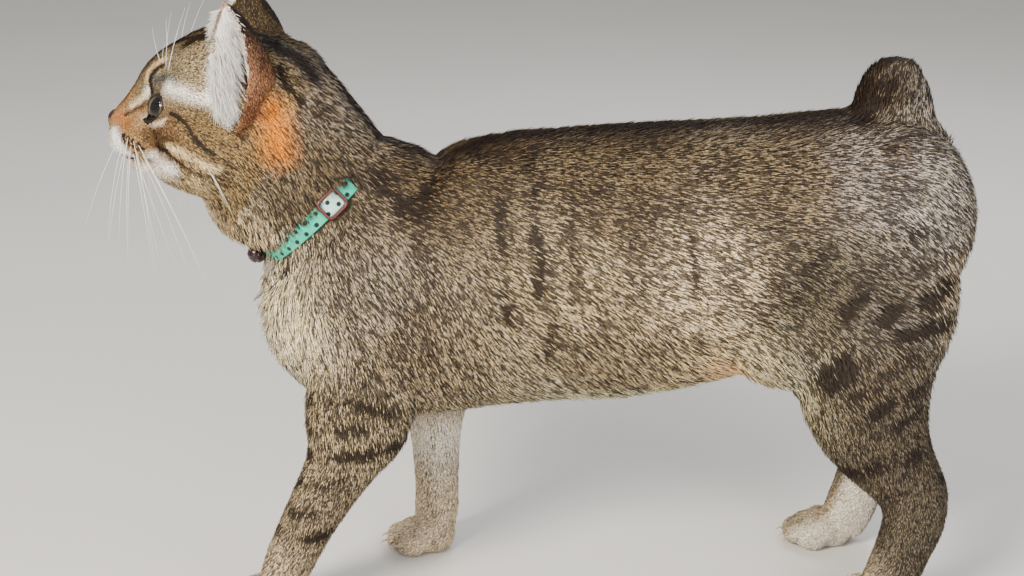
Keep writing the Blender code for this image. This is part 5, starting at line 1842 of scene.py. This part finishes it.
@dataclass
class Collar:
    """The webbing band with its dots, the slider and the bell, each in its CAD node's place."""

    place: CollarPlace
    dot_pitch: float = 0.0078
    dot_row: float = 0.0025
    dot_radius: float = 0.0014
    rib: float = 0.0008
    slider_angle: float = radians(19)
    slider_size: tuple[float, float] = (0.016, 0.014)
    wire: float = 0.001
    bell_radius: float = 0.006

    def band(self) -> Object:
        """The woven band: a soft-edged oval strip with its own map in metres along and across."""
        edit = bmesh.new()
        layer = edit.loops.layers.uv.new("along_band")
        half, thick = self.place.width / 2, self.place.thickness
        profile = (
            (-half, 0.35), (-half * 0.94, 0.9), (-half * 0.82, 1.0), (0.0, 0.92), (half * 0.82, 1.0),
            (half * 0.94, 0.9), (half, 0.35), (half * 0.9, 0.0), (0.0, 0.06), (-half * 0.9, 0.0)
        )
        sides = 120
        matrix = self.place.matrix()
        rings, reaches, reach = [], [], 0.0
        last = None
        for step in range(sides + 1):
            angle = tau * step / sides
            middle = Vector(
                (cos(angle) * self.place.half_width, sin(angle) * self.place.half_depth, 0)
            )
            out = Vector((cos(angle), sin(angle), 0))
            if last is not None:
                reach += (middle - last).length
            last = middle
            reaches.append(reach)
            if step < sides:
                ring = [
                    edit.verts.new(matrix @ (middle + out * (t * thick) + Vector((0, 0, h)))) for h,
                    t in profile
                ]
                rings.append(ring)
        count = len(profile)
        for step in range(sides):
            lower, upper = rings[step], rings[(step + 1) % sides]
            for index in range(count):
                after = (index + 1) % count
                face = edit.faces.new((lower[index], lower[after], upper[after], upper[index]))
                spots = (
                    (reaches[step], profile[index][0]), (reaches[step], profile[after][0]),
                    (reaches[step + 1], profile[after][0]), (reaches[step + 1], profile[index][0])
                )
                for loop, spot in zip(face.loops, spots):
                    loop[layer].uv = spot
        return add_mesh("collar_band", edit)

    def webbing_finish(self, name: str, low: str, high: str) -> Material:
        """Flat woven polyester: 0.8 mm ribs across it with painted shade in their grooves, clouds of painted
        shade and light, a soft sheen, small printed dark dots in two rows.

        Args:
            name: the material's name.
            low: the shaded copy of the ground colour, laid in clouds as painted shade.
            high: the lit copy of the ground colour, laid in clouds as painted light.

        Returns:
            The material.
        """
        made, tree, shader = blank_material(name)
        place = add(tree, "UVMap", uv_map="along_band")
        parts = add(tree, "SeparateXYZ", {"Vector": place}).outputs
        fade = {
            "From Min": self.dot_radius * 0.8, "From Max": self.dot_radius * 1.15, "To Min": 1.0,
            "To Max": 0.0
        }
        spots = []
        for row, shift in ((self.dot_row, 0.0), (-self.dot_row, 0.5)):
            moved = add(tree, "Math", {0: parts["X"], 1: shift * self.dot_pitch}, operation="ADD")
            cell = add(tree, "Math", {0: moved, 1: self.dot_pitch}, operation="FLOORED_MODULO")
            side_way = add(tree, "Math", {0: cell, 1: self.dot_pitch / 2}, operation="SUBTRACT")
            height = add(tree, "Math", {0: parts["Y"], 1: row}, operation="SUBTRACT")
            flat = add(tree, "CombineXYZ", {"X": side_way, "Y": height})
            reach = add(tree, "VectorMath", {0: flat}, operation="LENGTH")
            spots.append(add(tree, "MapRange", {"Value": reach, **fade}))
        dots = add(tree, "Math", {0: spots[0], 1: spots[1]}, operation="MAXIMUM")
        ribs = {"Vector": place, "Scale": tau / self.rib / 20, "Distortion": 0.3}
        wave = add(tree, "TexWave", ribs, bands_direction="X").outputs["Fac"]
        # painted shade and light: a shaded and a lit copy of the ground colour mixed in soft clouds
        cloud = add(tree, "TexNoise", {"Vector": place, "Scale": 160.0, "Detail": 3.0})
        ground = add(tree, "Mix", {"Factor": cloud, "A": linear(low), "B": linear(high)}, data_type="RGBA")
        # painted shade: the ground colour darkens in the grooves between the ribs
        rib_groove_shade = add(tree, "MapRange", {"Value": wave, "To Min": 0.78, "To Max": 1.0})
        ground = add(tree, "VectorMath", {0: ground, "Scale": rib_groove_shade}, operation="SCALE")
        colour = add(tree, "Mix", {"Factor": dots, "A": ground, "B": linear("#0C1210")}, data_type="RGBA")
        bump = add(tree, "Bump", {"Height": wave, "Distance": 0.00018, "Strength": 0.7})
        gloss = {"Roughness": 0.7, "Sheen Weight": 0.05, "IOR": 1.5}
        feed(tree, shader, {"Base Color": colour, "Normal": bump, **gloss})
        return made

    def enamel_finish(self, name: str, colour: str, roughness: float) -> Material:
        """Glossy enamel over steel, IOR 1.5, a little worn and clouded by handling."""
        made, tree, shader = blank_material(name)
        cloud, mixed = clouded(tree, 420.0, linear(colour, 0.5), linear(colour), 4.0)
        wear = {"Value": cloud, "To Min": roughness * 0.7, "To Max": roughness * 1.4}
        rough = add(tree, "MapRange", wear)
        gloss = {"Metallic": 0.25, "Coat Weight": 0.5, "Coat Roughness": 0.1}
        feed(tree, shader, {"Base Color": mixed, "Roughness": rough, **gloss})
        return made

    def slider_matrix(self) -> Matrix:
        """Where the slider lies on the band: X along the band, Y across it, Z out of the neck."""
        radial = Vector((cos(self.slider_angle), sin(self.slider_angle), 0.0))
        tangent = Vector((-radial.y, radial.x, 0.0))
        on_band = Vector((radial.x * self.place.half_width, radial.y * self.place.half_depth, 0.0))
        turn = Matrix((tangent, Vector((0.0, 0.0, 1.0)), radial)).transposed().to_4x4()
        return self.place.matrix() @ Matrix.Translation(on_band + radial * 0.003) @ turn

    def slider(self) -> Object:
        """A rounded wire frame with a middle bar behind the webbing's second layer."""
        matrix = self.slider_matrix()
        half_x, half_y = self.slider_size[0] / 2 - self.wire, self.slider_size[1] / 2 - self.wire
        corner = 0.003
        ring = []
        for quarter, (cx, cy) in enumerate(((1, 1), (-1, 1), (-1, -1), (1, -1))):
            middle = Vector((cx * (half_x - corner), cy * (half_y - corner), 0.0))
            for step in range(7):
                angle = pi / 2 * (quarter + step / 6)
                ring.append(matrix @ (middle + Vector((cos(angle), sin(angle), 0.0)) * corner))
        outline = sweep("ring", [ring], [self.wire] * len(ring), 12, closed=True)
        bar = [matrix @ Vector((0.0, y, -0.001)) for y in (-half_y, -half_y / 2, 0.0, half_y / 2, half_y)]
        return join("slider_frame", (outline, sweep("bar", [bar], [self.wire * 0.8] * 5, 10)))

    def keeper(self) -> Object:
        """The webbing's second layer where it loops over the slider's middle bar."""
        matrix = self.slider_matrix()
        edit = bmesh.new()
        layer = edit.loops.layers.uv.new("along_band")
        half_x, half_y = self.slider_size[0] / 2 - 0.0024, self.place.width / 2 - 0.0001
        columns, rows = 14, 8
        grid = []
        for column in range(columns + 1):
            s = column / columns * 2 - 1
            line = []
            for row in range(rows + 1):
                t = row / rows * 2 - 1
                bow = 0.0012 * (1 - s * s) - 0.0013
                line.append(edit.verts.new(matrix @ Vector((s * half_x, t * half_y, bow))))
            grid.append(line)
        for column in range(columns):
            for row in range(rows):
                face = edit.faces.new(
                    (
                        grid[column][row], grid[column + 1][row], grid[column + 1][row + 1],
                        grid[column][row + 1]
                    )
                )
                for loop, (c, r) in zip(face.loops, ((0, 0), (1, 0), (1, 1), (0, 1))):
                    s = ((column + c) / columns * 2 - 1) * half_x
                    loop[layer].uv = (s + 0.0131, ((row + r) / rows * 2 - 1) * half_y)
        piece = add_mesh("collar_keeper", edit)
        shell = piece.modifiers.new("thickness", "SOLIDIFY")
        shell.thickness = 0.0009
        shell.offset = 0.0
        settle(piece)
        return piece

    def bell(self) -> Object:
        """A small jingle bell: two cups with a belt, a cross slot below and a ring above."""
        edit = bmesh.new()
        radius = self.bell_radius
        bmesh.ops.create_uvsphere(edit, u_segments=48, v_segments=36, radius=radius * 0.95)
        for vertex in edit.verts:
            x, y, z = vertex.co
            belt = exp(-((z / (radius * 0.09)) ** 2))
            low = max(0.0, -z / radius - 0.15)
            slot = exp(-((x / (radius * 0.1)) ** 2)) + exp(-((y / (radius * 0.1)) ** 2))
            end = exp(-(((hypot(x, y) - radius * 0.78) / (radius * 0.14)) ** 2))
            scale = 1.0 + 0.045 * belt - 0.1 * min(1.0, slot) * min(1.0, low * 3) * (1 + 0.5 * end)
            vertex.co = Vector((x, y, z)) * scale
        bmesh.ops.translate(edit, vec=BELL_CENTRE, verts=edit.verts)
        hook = self.place.matrix() @ Vector((0, -self.place.half_depth - 0.0012, -0.002))
        up = (hook - BELL_CENTRE).normalized()
        ring = []
        for step in range(20):
            angle = tau * step / 20
            out = up * (0.0016 + 0.0019 * cos(angle))
            ring.append(BELL_CENTRE + up * radius * 0.9 + out + Vector((0.0019 * sin(angle), 0, 0)))
        loop = sweep("loop", [ring], [0.00038] * 20, 8, closed=True)
        return join("jingle_bell", (add_mesh("ball", edit), loop))

    def build(self) -> None:
        """Make the band, the slider with the webbing through it, and the bell."""
        # the band's dark and bright greens are painted shade and painted light
        webbing = self.webbing_finish("woven_polyester_webbing", "#00906C", "#2CF4CE")
        # painted highlight: the keeper is the same green webbing, drawn nearly white for glare
        pale = self.webbing_finish("pale_polyester_webbing", "#7CDCC0", "#F4FFFA")
        band = dress(self.band(), webbing)
        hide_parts("collar")
        dress(self.keeper(), pale)
        slider = dress(
            self.slider(), self.enamel_finish("brick_red_enamel", "#641A0E", 0.35)
        )
        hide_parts("collar_slider")
        bell = dress(self.bell(), self.enamel_finish("dark_red_enamel", "#2E090D", 0.22))
        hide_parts("bell")


@dataclass
class Studio:
    """Plain pale floor, soft lights and the camera at the photograph's viewing angle."""

    target: Vector = field(default_factory=lambda: Vector((0.0, -0.0155, 0.19)))
    distance: float = 0.95
    elevation: float = radians(18)
    lens: float = 56.25

    def floor(self) -> None:
        """A large matt floor, faintly mottled as painted board is."""
        edit = bmesh.new()
        bmesh.ops.create_grid(edit, x_segments=8, y_segments=8, size=8.0)
        made = add_mesh("floor", edit)
        finish, tree, shader = blank_material("matt_painted_board")
        mixed = clouded(tree, 3.0, linear("#CFCCC6"), linear("#D8D5CF"), 4.0)[1]
        feed(tree, shader, {"Base Color": mixed, "Roughness": 0.85})
        made.data.materials.append(finish)

    def light(self, name: str, place: tuple, power: float, size: float, colour: str) -> None:
        """Add a soft square light that looks at the cat.

        Args:
            name: the light's name.
            place: where it stands.
            power: its power in watts.
            size: the length of its side.
            colour: its sRGB colour.
        """
        lamp = bpy.data.lights.new(name, "AREA")
        lamp.energy = power
        lamp.size = size
        lamp.color = linear(colour)[:3]
        holder = bpy.data.objects.new(name, lamp)
        holder.location = place
        holder.rotation_euler = (self.target - Vector(place)).to_track_quat("-Z", "Y").to_euler()
        bpy.context.scene.collection.objects.link(holder)

    def camera(self) -> None:
        """The camera at the photograph's place, with depth of field off."""
        lens = bpy.data.cameras.new("camera")
        lens.lens = self.lens
        lens.sensor_width = 36.0
        lens.dof.use_dof = False
        holder = bpy.data.objects.new("camera", lens)
        back = Vector((cos(self.elevation), 0.0, sin(self.elevation)))
        holder.location = self.target + back * self.distance
        holder.rotation_euler = (-back).to_track_quat("-Z", "Y").to_euler()
        bpy.context.scene.collection.objects.link(holder)
        bpy.context.scene.camera = holder

    def build(self) -> None:
        """Set up the floor, the lights, the pale surroundings and the camera."""
        self.floor()
        self.light("key", (1.3, -1.0, 1.2), 66.0, 0.6, "#FFF6EA")
        self.light("fill", (1.5, 0.9, 0.8), 23.0, 1.2, "#F6F6FF")
        self.light("back", (-1.0, 0.4, 1.5), 16.0, 0.9, "#F4F7FF")
        world = bpy.data.worlds.new("studio")
        world.use_nodes = True
        world.node_tree.nodes["Background"].inputs["Color"].default_value = linear("#E8E8E8")
        world.node_tree.nodes["Background"].inputs["Strength"].default_value = 0.7
        bpy.context.scene.world = world
        self.camera()


def main() -> None:
    """Dress the cat piece by piece and report each piece."""
    logging.basicConfig(level=logging.INFO, format="%(name)s: %(message)s")
    collar_place = CollarPlace()
    markings = Markings()
    skin_maker = Skin(collar_place, markings)
    skin = skin_maker.build()
    coat = Coat(markings)
    coat.grow(skin, CoatFinish().build(markings.dark_colour))
    dress(skin, SkinFinish().build(markings.dark_colour))
    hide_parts(*skin_maker.flesh())
    Eyes(skin_maker.solid).build()
    Muzzle(skin_maker.solid).build()
    Bristles(skin_maker.solid).build()
    Claws().build()
    Collar(collar_place).build()
    Studio().build()


if __name__ == "__main__":
    main()
